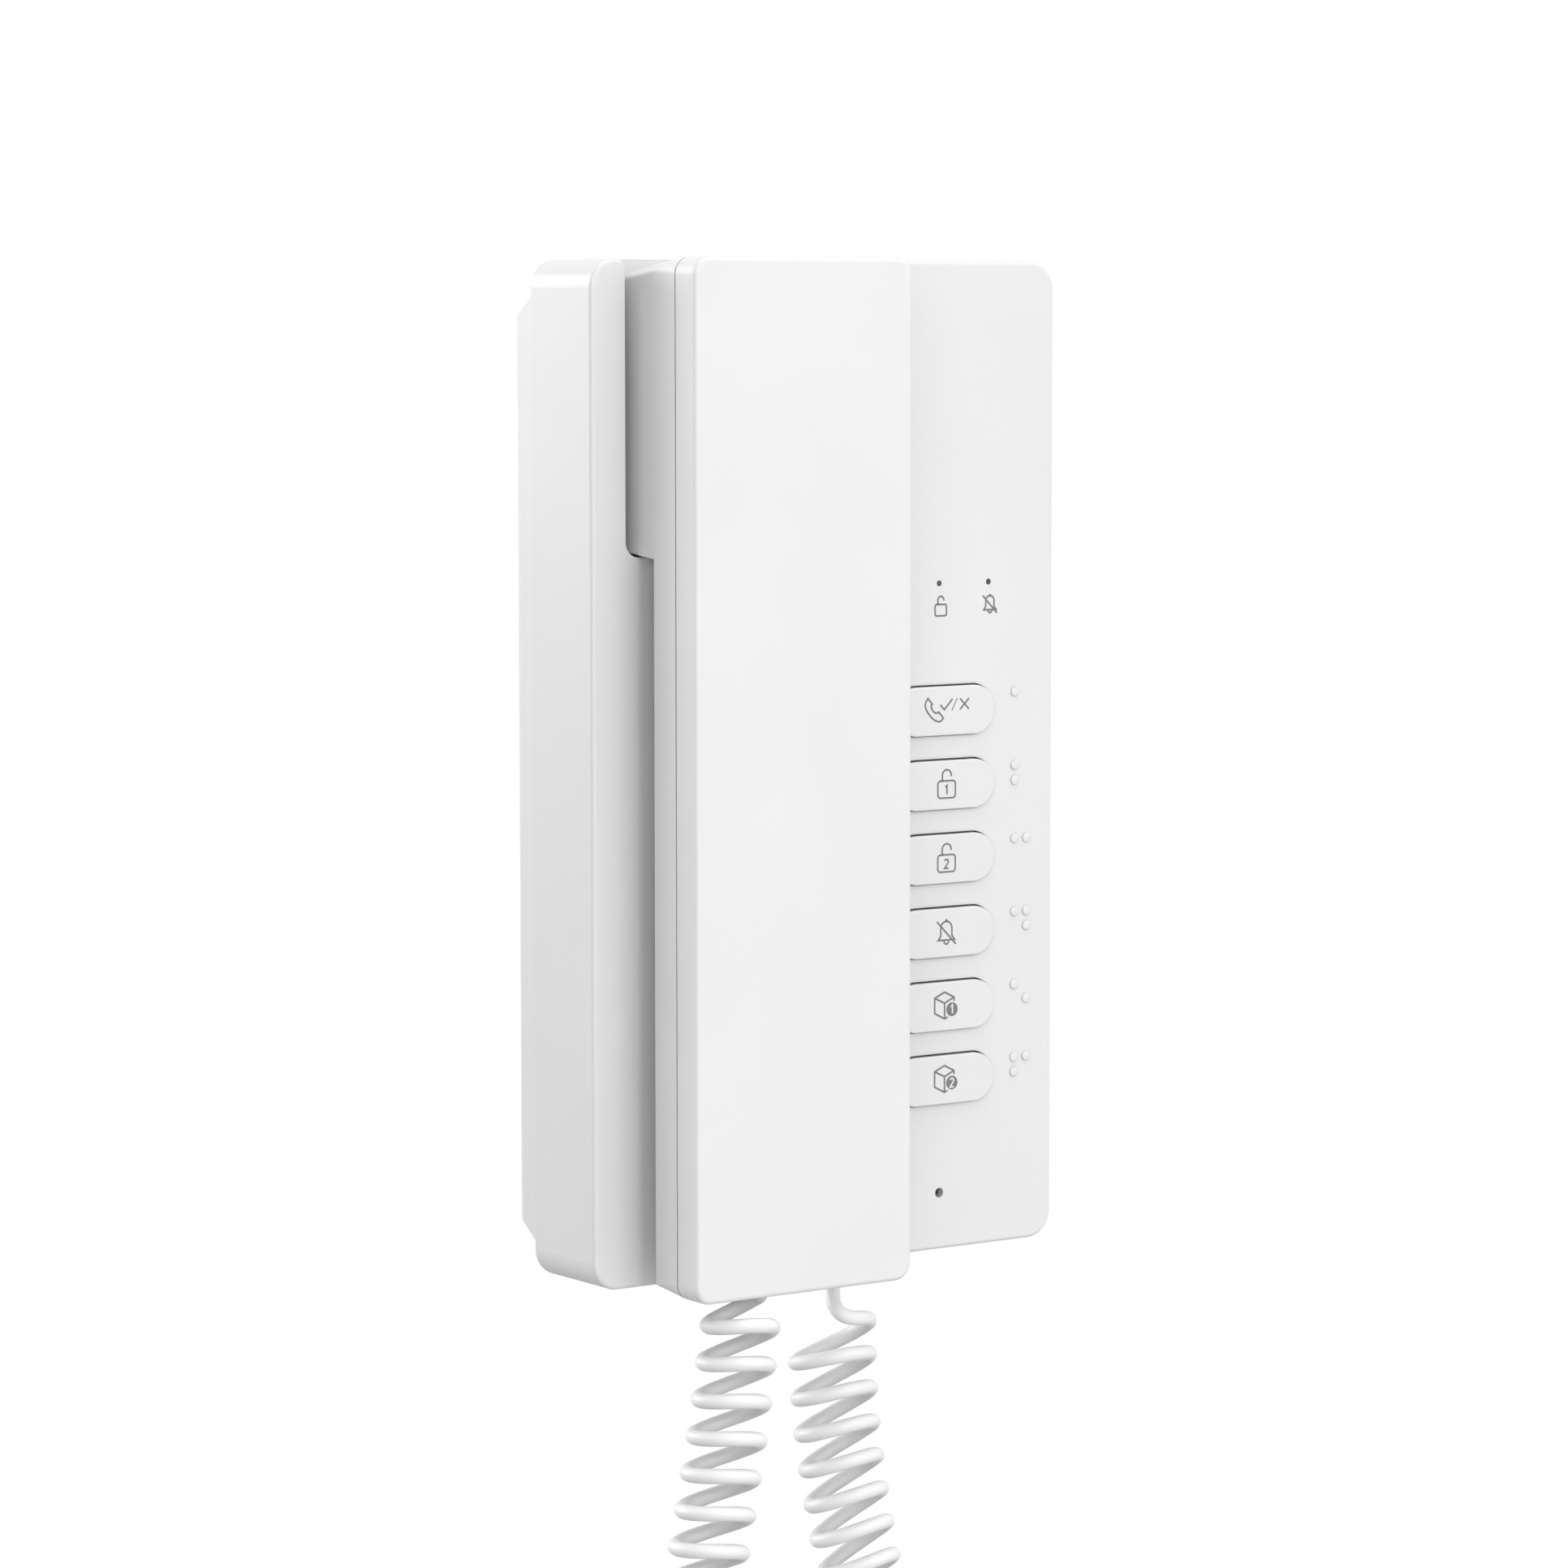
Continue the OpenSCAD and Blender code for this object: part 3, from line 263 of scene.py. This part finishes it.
def spokes(sides):
    """The cosine and sine of each corner of a regular ring."""
    angles = [2 * math.pi * k / sides for k in range(sides)]
    return [(math.cos(a), math.sin(a)) for a in angles]


def tube_mesh(points, radius, sides):
    """A round tube along a route, with its ends closed."""
    bm = bmesh.new()
    rings = []
    across = Vector((0, 1, 0))
    for i, p in enumerate(points):
        t = (points[min(len(points) - 1, i + 1)] - points[max(0, i - 1)]).normalized()
        across = (across - across.dot(t) * t).normalized()
        up = t.cross(across)
        rings.append([bm.verts.new(p + radius * (c * across + s * up)) for c, s in spokes(sides)])
    for a, b in zip(rings, rings[1:]):
        for k in range(sides):
            j = (k + 1) % sides
            bm.faces.new((a[k], a[j], b[j], b[k]))
    bm.faces.new(list(reversed(rings[0])))
    bm.faces.new(rings[-1])
    bmesh.ops.recalc_face_normals(bm, faces=bm.faces)
    return bm


def lathe(bm, centre, profile, sides):
    """A round piece along -Y: profile is a list of (radius, height towards the front)."""
    rings = []
    for r, h in profile:
        corners = spokes(sides) if r else [(0, 0)]
        rings.append([bm.verts.new(centre + Vector((r * c, -h, r * s))) for c, s in corners])
    for a, b in zip(rings, rings[1:]):
        for k in range(sides):
            j = (k + 1) % sides
            bm.faces.new((a[k], a[j], b[0]) if len(b) == 1 else (a[k], a[j], b[j], b[k]))
    bm.faces.new(list(reversed(rings[0])))


# ---------------------------------------------------------------- nodes
def fill(tree, node, inputs):
    """Sets sockets: inputs gives each socket's name, and its value or the output that feeds it."""
    for key, value in inputs.items():
        if isinstance(value, bpy.types.NodeSocket):
            tree.links.new(value, node.inputs[key])
        else:
            node.inputs[key].default_value = value


def add(tree, kind, inputs=None, **settings):
    """A new node, with its settings made before its sockets are filled."""
    node = tree.nodes.new("ShaderNode" + kind)
    for key, value in settings.items():
        setattr(node, key, value)
    fill(tree, node, inputs or {})
    return node


# ---------------------------------------------------------------- materials
BEVEL_SAMPLES, NEAR_SAMPLES = 4, 8
# The openness at which painted shade greys a colour in full, and the one from which it doesn't
PAINTED_SHADE_OPENNESS = (0.25, 0.95)
# Painted shade, as (reach in metres, share of the colour kept): the colour is greyed in narrow
# gaps, over wide corners, and inside the cord's curls, where shade falls
SHADE_IN_GAPS = (0.0012, 0.68)
SHADE_IN_CORNERS = (0.03, 0.8)
SHADE_IN_CURLS = (0.012, 0.45)
SHELL_EDGE, KEY_EDGE = 0.0002, 0.00015
MATS = {}


class Look:
    """A node material, kept in MATS. Noise scales are in waves per metre of the object."""

    def __init__(self, name):
        self.material = bpy.data.materials.new(name)
        self.material.use_nodes = True
        self.tree = self.material.node_tree
        self.shader = self.tree.nodes["Principled BSDF"]
        self.place = add(self.tree, "TexCoord").outputs["Object"]
        MATS[name] = self.material

    def noise(self, scale, detail=3.0, rough=0.5, stretch=None):
        place = self.place
        if stretch:
            mapping = add(self.tree, "Mapping", {"Vector": place, "Scale": stretch})
            place = mapping.outputs["Vector"]
        wave = {"Vector": place, "Scale": scale, "Detail": detail, "Roughness": rough}
        return add(self.tree, "TexNoise", wave).outputs["Fac"]

    def ramp(self, value, low, high, start=0.35, end=0.65):
        """A colour that goes from low to high while value goes from start to end."""
        node = add(self.tree, "ValToRGB", {"Fac": value})
        first, second = node.color_ramp.elements
        first.position, first.color = start, (*low, 1)
        second.position, second.color = end, (*high, 1)
        return node.outputs["Color"]

    def spread(self, value, low, high):
        """A number that goes from low to high while value goes from 0 to 1."""
        ends = {"Value": value, "To Min": low, "To Max": high}
        return add(self.tree, "MapRange", ends).outputs["Result"]

    def with_painted_shade(self, colour, layers, local=False):
        """Paints shade: greys a colour where other surfaces come near; local counts the piece
        itself only.
        """
        for reach, kept in layers:
            near = add(self.tree, "AmbientOcclusion", {"Distance": reach},
                       samples=NEAR_SAMPLES, only_local=local)
            shade_tint = self.ramp(near.outputs["AO"], (kept,) * 3, (1, 1, 1), *PAINTED_SHADE_OPENNESS)
            mix = add(self.tree, "Mix", {"Factor": 1.0, "A": colour, "B": shade_tint},
                      data_type="RGBA", blend_type="MULTIPLY")
            colour = mix.outputs["Result"]
        return colour

    def shade(self, inputs):
        fill(self.tree, self.shader, inputs)

    def bump(self, heights, edge=0.0):
        """heights is a list of (value, distance in metres, strength); edge rounds the edges."""
        before = {}
        if edge:
            bevel = add(self.tree, "Bevel", {"Radius": edge}, samples=BEVEL_SAMPLES)
            before = {"Normal": bevel.outputs["Normal"]}
        for value, distance, strength in heights:
            height = {"Height": value, "Distance": distance, "Strength": strength}
            node = add(self.tree, "Bump", {**height, **before})
            before = {"Normal": node.outputs["Normal"]}
        self.shade(before)


def moulded(name, low, high, rough=(0.36, 0.46), edge=0.0, dust_and_painted_shade=()):
    """Moulded plastic: faint flow clouds, an even fine grain, a gloss that varies, and painted
    shade.
    """
    look = Look(name)
    clouds = look.ramp(look.noise(22, detail=4, rough=0.55), low, high)
    haze = look.noise(60, rough=0.6)
    look.shade({"Base Color": look.with_painted_shade(clouds, dust_and_painted_shade), "Roughness": look.spread(haze, *rough)})
    fine = look.noise(2600, detail=2)
    broad = look.noise(45, detail=2, rough=0.4)
    look.bump([(broad, 0.00002, 0.35), (fine, 0.00003, 0.35)], edge)


def grained(name, wave, low, high, rough, relief, more=None):
    """Colour, gloss and bumps from one noise; relief is the bumps' distance and strength."""
    look = Look(name)
    grain = look.noise(**wave)
    look.shade({"Base Color": look.ramp(grain, low, high),
                "Roughness": look.spread(grain, *rough), **(more or {})})
    look.bump([(grain, *relief)])


def metal(name, low, high, rough, stretch):
    """Brushed or spun metal, with its strokes along the axis that stretch makes small."""
    wave = {"scale": 900, "detail": 4, "rough": 0.6, "stretch": stretch}
    grained(name, wave, low, high, rough, (0.00002, 0.4), {"Metallic": 1.0})


def circuit_board():
    """Green solder mask over straight tracks that run either way by zones, with tinned pads."""
    look = Look("circuit_board")
    flat = add(look.tree, "Mapping", {"Vector": look.place, "Rotation": (math.radians(90), 0, 0)})
    masks = []
    for scale, width, height in ((90, 0.9, 0.11), (70, 0.13, 0.8)):
        lines = {"Vector": flat.outputs["Vector"], "Scale": scale, "Brick Width": width,
                 "Row Height": height, "Mortar Size": 0.016, "Mortar Smooth": 0.2}
        masks.append(add(look.tree, "TexBrick", lines, offset=0.37).outputs["Fac"])
    zones = look.noise(70, detail=1, rough=0.3)
    choose = add(look.tree, "Math", {0: zones, 1: 0.5}, operation="GREATER_THAN")
    pick = add(look.tree, "Mix",
               {"Factor": choose.outputs["Value"], "A": masks[0], "B": masks[1]})
    tracks = look.ramp(pick.outputs["Result"], (0.012, 0.11, 0.045), (0.035, 0.21, 0.085),
                       0.3, 0.7)
    pads = add(look.tree, "TexVoronoi", {"Vector": look.place, "Scale": 170, "Randomness": 0.3})
    dots = look.ramp(pads.outputs["Distance"], (1, 1, 1), (0, 0, 0), 0.10, 0.13)
    tin = (0.62, 0.6, 0.55, 1)
    colour = add(look.tree, "Mix", {"Factor": dots, "A": tracks, "B": tin}, data_type="RGBA")
    look.shade({"Base Color": colour.outputs["Result"],
                "Roughness": look.spread(look.noise(90), 0.22, 0.36)})
    look.bump([(pick.outputs["Result"], 0.00004, 0.3)])


def rubber():
    """Dusty black rubber, with bumps finer than its mottling."""
    look = Look("black_rubber")
    dust_and_painted_shade = look.noise(120, detail=5, rough=0.6)
    look.shade({"Base Color": look.ramp(dust_and_painted_shade, (0.016, 0.016, 0.017), (0.04, 0.04, 0.041)),
                "Roughness": look.spread(dust_and_painted_shade, 0.62, 0.82)})
    look.bump([(look.noise(1800, rough=0.6), 0.00005, 0.5)])


def cord_sheath():
    """Satin PVC: faint clouds, a fine extrusion grain, a soft gloss, and painted shade inside the
    curls.
    """
    look = Look("cord_white")
    clouds = look.noise(55, detail=4, rough=0.55)
    sheath = look.ramp(clouds, (0.94, 0.94, 0.936), (0.97, 0.97, 0.967))
    look.shade({"Base Color": look.with_painted_shade(sheath, [SHADE_IN_CURLS], local=True),
                "Roughness": look.spread(look.noise(160), 0.34, 0.48)})
    look.bump([(look.noise(1100), 0.00004, 0.35)])


# Painted shade: each white below is greyed in narrow gaps, and the front cover's over wide corners
# too
moulded("shell_white", (0.845, 0.845, 0.845), (0.87, 0.87, 0.868), edge=SHELL_EDGE, dust_and_painted_shade=[SHADE_IN_GAPS])
moulded("cover_white", (0.82, 0.82, 0.82), (0.84, 0.84, 0.838), edge=SHELL_EDGE,
        dust_and_painted_shade=[SHADE_IN_GAPS, SHADE_IN_CORNERS])
moulded("key_white", (0.815, 0.815, 0.815), (0.835, 0.835, 0.833), rough=(0.34, 0.42),
        edge=KEY_EDGE, dust_and_painted_shade=[SHADE_IN_GAPS])
cord_sheath()
moulded("grey_plastic", (0.56, 0.56, 0.56), (0.62, 0.62, 0.615))
moulded("black_plastic", (0.022, 0.022, 0.024), (0.036, 0.036, 0.038), rough=(0.38, 0.52))
circuit_board()
moulded("terminal_green", (0.035, 0.22, 0.09), (0.05, 0.28, 0.12), rough=(0.35, 0.5))
grained("clear_plastic", {"scale": 140}, (0.80, 0.83, 0.84), (0.90, 0.92, 0.93), (0.06, 0.16),
        (0.00003, 0.2), {"Transmission Weight": 0.92, "IOR": 1.58})
# A smoked light pipe looks dark while its indicator is off
grained("light_pipe", {"scale": 400}, (0.05, 0.05, 0.052), (0.09, 0.09, 0.092), (0.18, 0.3),
        (0.00003, 0.2))
rubber()
metal("zinc_steel", (0.56, 0.57, 0.6), (0.72, 0.73, 0.74), (0.26, 0.42), (1, 1, 0.08))
metal("capsule_metal", (0.66, 0.66, 0.67), (0.8, 0.8, 0.8), (0.3, 0.45), (1, 0.1, 1))
# Pad-printed ink: grey, with a slightly uneven film
grained("print_grey", {"scale": 1500, "detail": 4, "rough": 0.6}, (0.185, 0.185, 0.178),
        (0.22, 0.22, 0.212), (0.45, 0.6), (0.00001, 0.3))

# A CAD node takes the look of its slot in the record, but for these two
OWN_LOOK = {"light_pipes": "light_pipe", "front_cover": "cover_white"}
SLOT_OF = {part["node"]: part["material_slot"] for part in frame["record"]["subparts"]}
for name, node in frame["nodes"].items():
    mat = MATS[OWN_LOOK.get(name, SLOT_OF[name])]
    if not node.material_slots:
        node.data.materials.append(mat)
    for slot in node.material_slots:
        slot.material = mat

# ---------------------------------------------------------------- curly cord: its piece
route = refine(relax(even([p * MM for p in cord_route()], ROUTE_STEP * MM)))
coil = new_object("curly_cord", tube_mesh(route, CORD_D / 2 * MM, SIDES), True)
coil.data.materials.append(MATS["cord_white"])
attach(coil, "base")
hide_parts("coil_cord")

# ---------------------------------------------------------------- printed pictograms
# Drawn in millimetres, as (x, z). The surfaces they lie on (y) and the ink's heights are in metres.
COVER_FRONT = -29.0
FRONT_Y = COVER_FRONT * MM
BUTTON_Y = -30.1 * MM
INK_T = 0.03 * MM
# How much further out a line lies that crosses another
OVER = 0.2 * INK_T
STROKE, THIN_STROKE = 0.36, 0.2
MITRE_LIMIT = 0.35
FIRST_BUTTON_Z, BUTTON_PITCH, BUTTONS = 9.8, 15, 6
BUTTON_Z = [FIRST_BUTTON_Z - BUTTON_PITCH * i for i in range(BUTTONS)]
ICON_X = 28.25
# The first button's signs, from its middle height; the handset is drawn round its own middle
HANDSET_AT = (25.1, 0.4)
HANDSET = [(-1.6, 2.32), (-0.48, 1.1), (-0.77, 0.88), (-0.73, 0.44), (-0.39, -0.21),
           (0.19, -0.7), (0.85, -0.73), (1.14, -0.54), (2.27, -1.79), (2.05, -2.12),
           (1.62, -2.41), (1.02, -2.51), (0.3, -2.28), (-0.4, -1.83), (-1.05, -1.2),
           (-1.59, -0.62), (-1.95, -0.05), (-2.17, 0.45), (-2.26, 1.01), (-2.05, 1.67)]
TICK = [(26.61, 1.31), (27.62, 0.27), (29.69, 2.39)]
SLASH = [(29.53, 0.05), (30.86, 2.47)]
CROSS = ([(31.58, 0.2), (33.83, 2.36)], [(31.57, 2.38), (33.83, 0.19)])
# The open padlocks' sizes: the body's width and height, and the whole height. On a button the
# body's middle is LOCK_DROP below the button's. The small signs stand under the indicators.
LOCK, SMALL_LOCK = (4.39, 3.46, 5.88), (2.85, 2.3, 4.1)
LOCK_DROP = 0.87
BELL, SMALL_BELL = 5.2, 3.9
SMALL_LOCK_AT, SMALL_BELL_AT = (27.5, 30.1), (39.9, 30.9)
# The disc before the box, with its number
DISC_X, DISC_DZ, DISC_R, DISC_SIDES = 29.71, -0.67, 1.42, 24
DISC_NUMBER = 1.75


def stroke(bm, points, y, width=STROKE, closed=False):
    """A flat line of ink along points, with mitred corners."""
    pts = [Vector(p) for p in points]
    n = len(pts)
    sides = []
    for i, p in enumerate(pts):
        before = pts[i - 1] if i or closed else None
        after = pts[(i + 1) % n] if i < n - 1 or closed else None
        d0 = (p - before).normalized() if before is not None else (after - p).normalized()
        d1 = (after - p).normalized() if after is not None else d0
        n0, n1 = Vector((-d0.y, d0.x)), Vector((-d1.y, d1.x))
        m = (n0 + n1).normalized()
        reach = width / 2 / max(MITRE_LIMIT, m.dot(n0))
        sides.append((p + reach * m, p - reach * m))
    rows = []
    for a, b in sides:
        rows.append([bm.verts.new((q.x * MM, y - h, q.y * MM)) for q in (a, b) for h in (0, INK_T)])
    pairs = list(zip(rows, rows[1:])) + ([(rows[-1], rows[0])] if closed else [])
    for r, s in pairs:
        bm.faces.new((r[1], r[3], s[3], s[1]))
        bm.faces.new((r[0], r[1], s[1], s[0]))
        bm.faces.new((r[3], r[2], s[2], s[3]))
    if not closed:
        for r in (rows[0], rows[-1]):
            bm.faces.new((r[0], r[1], r[3], r[2]))


def curve(cx, cz, rx, rz, start, end, steps):
    """Points of an ellipse round (cx, cz), from start to end in degrees."""
    angles = [math.radians(start + (end - start) * i / steps) for i in range(steps + 1)]
    return [(cx + rx * math.cos(a), cz + rz * math.sin(a)) for a in angles]


def soft_box(cx, cz, w, h, r):
    """A rectangle whose corners have the radius r."""
    pts = []
    for sx, sz, a in ((1, 1, 0), (-1, 1, 90), (-1, -1, 180), (1, -1, 270)):
        pts += curve(cx + sx * (w / 2 - r), cz + sz * (h / 2 - r), r, r, a, a + 90, 5)
    return pts


def shifted(points, dx, dz):
    return [(dx + x, dz + z) for x, z in points]


def number(bm, digit, x, z, y, h):
    """The number 1 or 2, h high and centred on (x, z)."""
    w = 0.5 * h
    top, foot = z + 0.5 * h, z - 0.5 * h
    if digit == 1:
        stroke(bm, [(x - 0.36 * w, z + 0.28 * h), (x + 0.1 * w, top), (x + 0.1 * w, foot)], y)
    else:
        r = 0.5 * w
        stroke(bm, curve(x, top - r, r, r, 165, -35, 14)
               + [(x - 0.52 * w, foot), (x + 0.56 * w, foot)], y)


def padlock(bm, x, z, y, sizes, digit=None):
    """An open padlock whose body is centred on (x, z)."""
    w, h, high = sizes
    stroke(bm, soft_box(x, z, w, h, 0.15 * w), y, closed=True)
    r = 0.255 * w
    foot = z + h / 2
    top = z - h / 2 + high - r - STROKE / 2
    cx = x + 0.01 * w
    stroke(bm, [(cx - r, foot)] + curve(cx, top, r, r, 180, -12, 16), y)
    if digit:
        number(bm, digit, x, z - 0.1, y, 0.52 * h)


def bell(bm, x, z, y, s):
    """A bell of the size s with a stroke across it: no ringing, please."""
    body = curve(x, z + 0.18 * s, 0.27 * s, 0.27 * s, 0, 180, 14)
    left = [(x - 0.27 * s, z - 0.12 * s), (x - 0.4 * s, z - 0.28 * s)]
    right = [(x + 0.4 * s, z - 0.28 * s), (x + 0.27 * s, z - 0.12 * s)]
    stroke(bm, right + body + left, y, closed=True)
    stroke(bm, curve(x, z - 0.3 * s, 0.12 * s, 0.14 * s, 190, 350, 8), y)
    stroke(bm, [(x, z + 0.45 * s), (x, z + 0.54 * s)], y)
    stroke(bm, [(x - 0.46 * s, z + 0.46 * s), (x + 0.46 * s, z - 0.46 * s)], y - OVER)


def cube(bm, z, y):
    """A box with a solid disc before its corner; the box's lines stop short of the disc."""
    left_x, near_x, right_x = 25.36, 27.85, 30.25
    left, right = (left_x, z + 1.86), (right_x, z + 1.77)
    top, near, foot = (near_x, z + 2.94), (near_x, z + 0.7), (near_x, z - 2.5)
    stroke(bm, [(right_x, z + 1.0), right, top, left, (left_x, z - 1.25), foot,
                (28.63, z - 2.22)], y)
    stroke(bm, [left, near, right], y - OVER)
    stroke(bm, [near, foot], y - 2 * OVER)
    rim = curve(DISC_X, z + DISC_DZ, DISC_R, DISC_R, 0, 360 - 360 / DISC_SIDES, DISC_SIDES - 1)
    bottom = [bm.verts.new((u * MM, y, v * MM)) for u, v in rim]
    face = [bm.verts.new(v.co + Vector((0, -INK_T, 0))) for v in bottom]
    for i, v in enumerate(bottom):
        j = (i + 1) % len(bottom)
        bm.faces.new((v, bottom[j], face[j], face[i]))
    bm.faces.new(face)


def call_signs(bm):
    """A tipped handset, and a tick, a slash and a cross beside it."""
    z = BUTTON_Z[0]
    stroke(bm, shifted(HANDSET, HANDSET_AT[0], z + HANDSET_AT[1]), BUTTON_Y, closed=True)
    stroke(bm, shifted(TICK, 0, z), BUTTON_Y)
    stroke(bm, shifted(SLASH, 0, z), BUTTON_Y, THIN_STROKE)
    stroke(bm, shifted(CROSS[0], 0, z), BUTTON_Y)
    stroke(bm, shifted(CROSS[1], 0, z), BUTTON_Y - OVER)


def printed(name, body, signs, ink_name="print_grey"):
    """One printed piece: signs is a list of (function, its values after bm)."""
    bm = bmesh.new()
    for draw, *values in signs:
        draw(bm, *values)
    bmesh.ops.recalc_face_normals(bm, faces=bm.faces)
    obj = new_object(name, bm)
    obj.data.materials.append(MATS[ink_name])
    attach(obj, body)


printed("print_button_1", "button_1", [(call_signs,)])
for i in (2, 3):
    printed(f"print_button_{i}", f"button_{i}",
            [(padlock, ICON_X, BUTTON_Z[i - 1] - LOCK_DROP, BUTTON_Y, LOCK, i - 1)])
printed("print_button_4", "button_4", [(bell, ICON_X, BUTTON_Z[3], BUTTON_Y, BELL)])
for i in (5, 6):
    printed(f"print_button_{i}", f"button_{i}", [(cube, BUTTON_Z[i - 1], BUTTON_Y)])
    printed(f"print_digit_{i}", f"button_{i}",
            [(number, i - 4, DISC_X, BUTTON_Z[i - 1] + DISC_DZ, BUTTON_Y - INK_T, DISC_NUMBER)],
            "key_white")
printed("print_indicators", "base", [(padlock, *SMALL_LOCK_AT, FRONT_Y, SMALL_LOCK),
                                     (bell, *SMALL_BELL_AT, FRONT_Y, SMALL_BELL)])

# ---------------------------------------------------------------- raised dots beside the buttons
# In millimetres. Dots of the numbers 1 to 6, as (column, row), from the upper left dot's place
DOTS = [[(0, 0)], [(0, 0), (0, 1)], [(0, 0), (1, 0)], [(0, 0), (1, 0), (1, 1)],
        [(0, 0), (1, 1)], [(0, 0), (1, 0), (0, 1)]]
DOT_X, DOT_RISE, DOT_PITCH, DOT_SIDES = 46.3, 3.1, 3.05, 24
DOT_PROFILE = [(0.98, -0.05), (0.975, 0.14), (0.94, 0.22), (0.87, 0.275), (0.72, 0.315),
               (0.5, 0.335), (0.25, 0.345), (0, 0.35)]


def raised_dots():
    bm = bmesh.new()
    profile = [(r * MM, h * MM) for r, h in DOT_PROFILE]
    for z, dots in zip(BUTTON_Z, DOTS):
        for col, row in dots:
            x = DOT_X + col * DOT_PITCH
            centre = Vector((x, COVER_FRONT, z + DOT_RISE - row * DOT_PITCH))
            lathe(bm, centre * MM, profile, DOT_SIDES)
    bmesh.ops.recalc_face_normals(bm, faces=bm.faces)
    raised = new_object("raised_dots", bm, True)
    raised.data.materials.append(MATS["cover_white"])
    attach(raised, "base")


raised_dots()

# ---------------------------------------------------------------- light, background and floor
WHITE = (1, 1, 1, 1)
# Soft panels of sky, as (axis, its sign, level). Each begins 9 degrees behind the plane square to
# its axis and is full from 20 degrees in front of it on. PANEL_FADE holds the two sines.
PANELS = (("Y", 1, 0.27), ("Y", -1, 0.51), ("X", 1, 0.3))
PANEL_FADE = (-0.15, 0.35)
# Lamps as (name, place, watts), and their diameter
LAMPS = (("front", (0, -2.2, 0.5), 14.3), ("front_left", (-1.4, -1.7, 0.5), 7.9),
         ("left_back", (-1.5, 1.5, 0.5), 12.1), ("back_left", (-1.0, 1.95, 0.5), 11.4),
         ("back", (-0.6, 2.1, 0.5), 7.3), ("top", (0, -0.3, 2.2), 17.5))
LAMP_D = 1.2
FLOOR_R, FLOOR_Z, FLOOR_SIDES = 1.5, -0.9, 96
# How far the camera sees the floor as plain white; the rest of it keeps the object's shadow
FLOOR_WHITE = 0.88


def make_world():
    """Soft panels light the object, and the camera, gloss and glass see plain white."""
    world = bpy.data.worlds.new("studio")
    bpy.context.scene.world = world
    world.use_nodes = True
    tree = world.node_tree
    tree.nodes.clear()

    def chain(operation, values):
        total = values[0]
        for value in values[1:]:
            node = add(tree, "Math", {0: total, 1: value}, operation=operation)
            total = node.outputs["Value"]
        return total

    place = add(tree, "TexCoord").outputs["Generated"]
    split = add(tree, "SeparateXYZ", {"Vector": place})
    begin, full = PANEL_FADE
    levels = []
    for axis, sign, strength in PANELS:
        level = add(tree, "MapRange", {"Value": split.outputs[axis], "From Min": begin * sign,
                                       "From Max": full * sign, "To Max": strength})
        levels.append(level.outputs["Result"])
    soft = add(tree, "Background", {"Color": WHITE, "Strength": chain("ADD", levels)})
    white = add(tree, "Background", {"Color": WHITE})
    rays = add(tree, "LightPath").outputs
    kinds = ("Is Camera Ray", "Is Glossy Ray", "Is Transmission Ray")
    mix = add(tree, "MixShader", {"Fac": chain("MAXIMUM", [rays[kind] for kind in kinds]),
                                  1: soft.outputs["Background"], 2: white.outputs["Background"]})
    add(tree, "OutputWorld", {"Surface": mix.outputs["Shader"]})


def lamp(name, place, watts):
    """A soft round lamp aimed at the origin."""
    data = bpy.data.lights.new(name, "AREA")
    data.shape = "DISK"
    data.size = LAMP_D
    data.energy = watts
    obj = bpy.data.objects.new(name, data)
    obj.location = place
    obj.rotation_euler = (-Vector(place)).to_track_quat("-Z", "Y").to_euler()
    bpy.context.scene.collection.objects.link(obj)


def make_floor():
    bm = bmesh.new()
    bmesh.ops.create_circle(bm, cap_ends=True, radius=FLOOR_R, segments=FLOOR_SIDES)
    for v in bm.verts:
        v.co.z = FLOOR_Z
    floor = new_object("floor", bm)
    look = Look("floor_pale")
    look.shade({"Base Color": look.ramp(look.noise(3), (0.38, 0.38, 0.38), (0.42, 0.42, 0.42)),
                "Roughness": 0.9})
    glow = add(look.tree, "Emission")
    rays = add(look.tree, "LightPath")
    share = add(look.tree, "Math", {0: rays.outputs["Is Camera Ray"], 1: FLOOR_WHITE},
                operation="MULTIPLY")
    mix = add(look.tree, "MixShader", {"Fac": share.outputs["Value"],
                                       1: look.shader.outputs["BSDF"],
                                       2: glow.outputs["Emission"]})
    fill(look.tree, look.tree.nodes["Material Output"], {"Surface": mix.outputs["Shader"]})
    floor.data.materials.append(look.material)


make_world()
for name, place, watts in LAMPS:
    lamp(name, place, watts)
make_floor()

scene = bpy.context.scene
scene.view_settings.view_transform = "Standard"
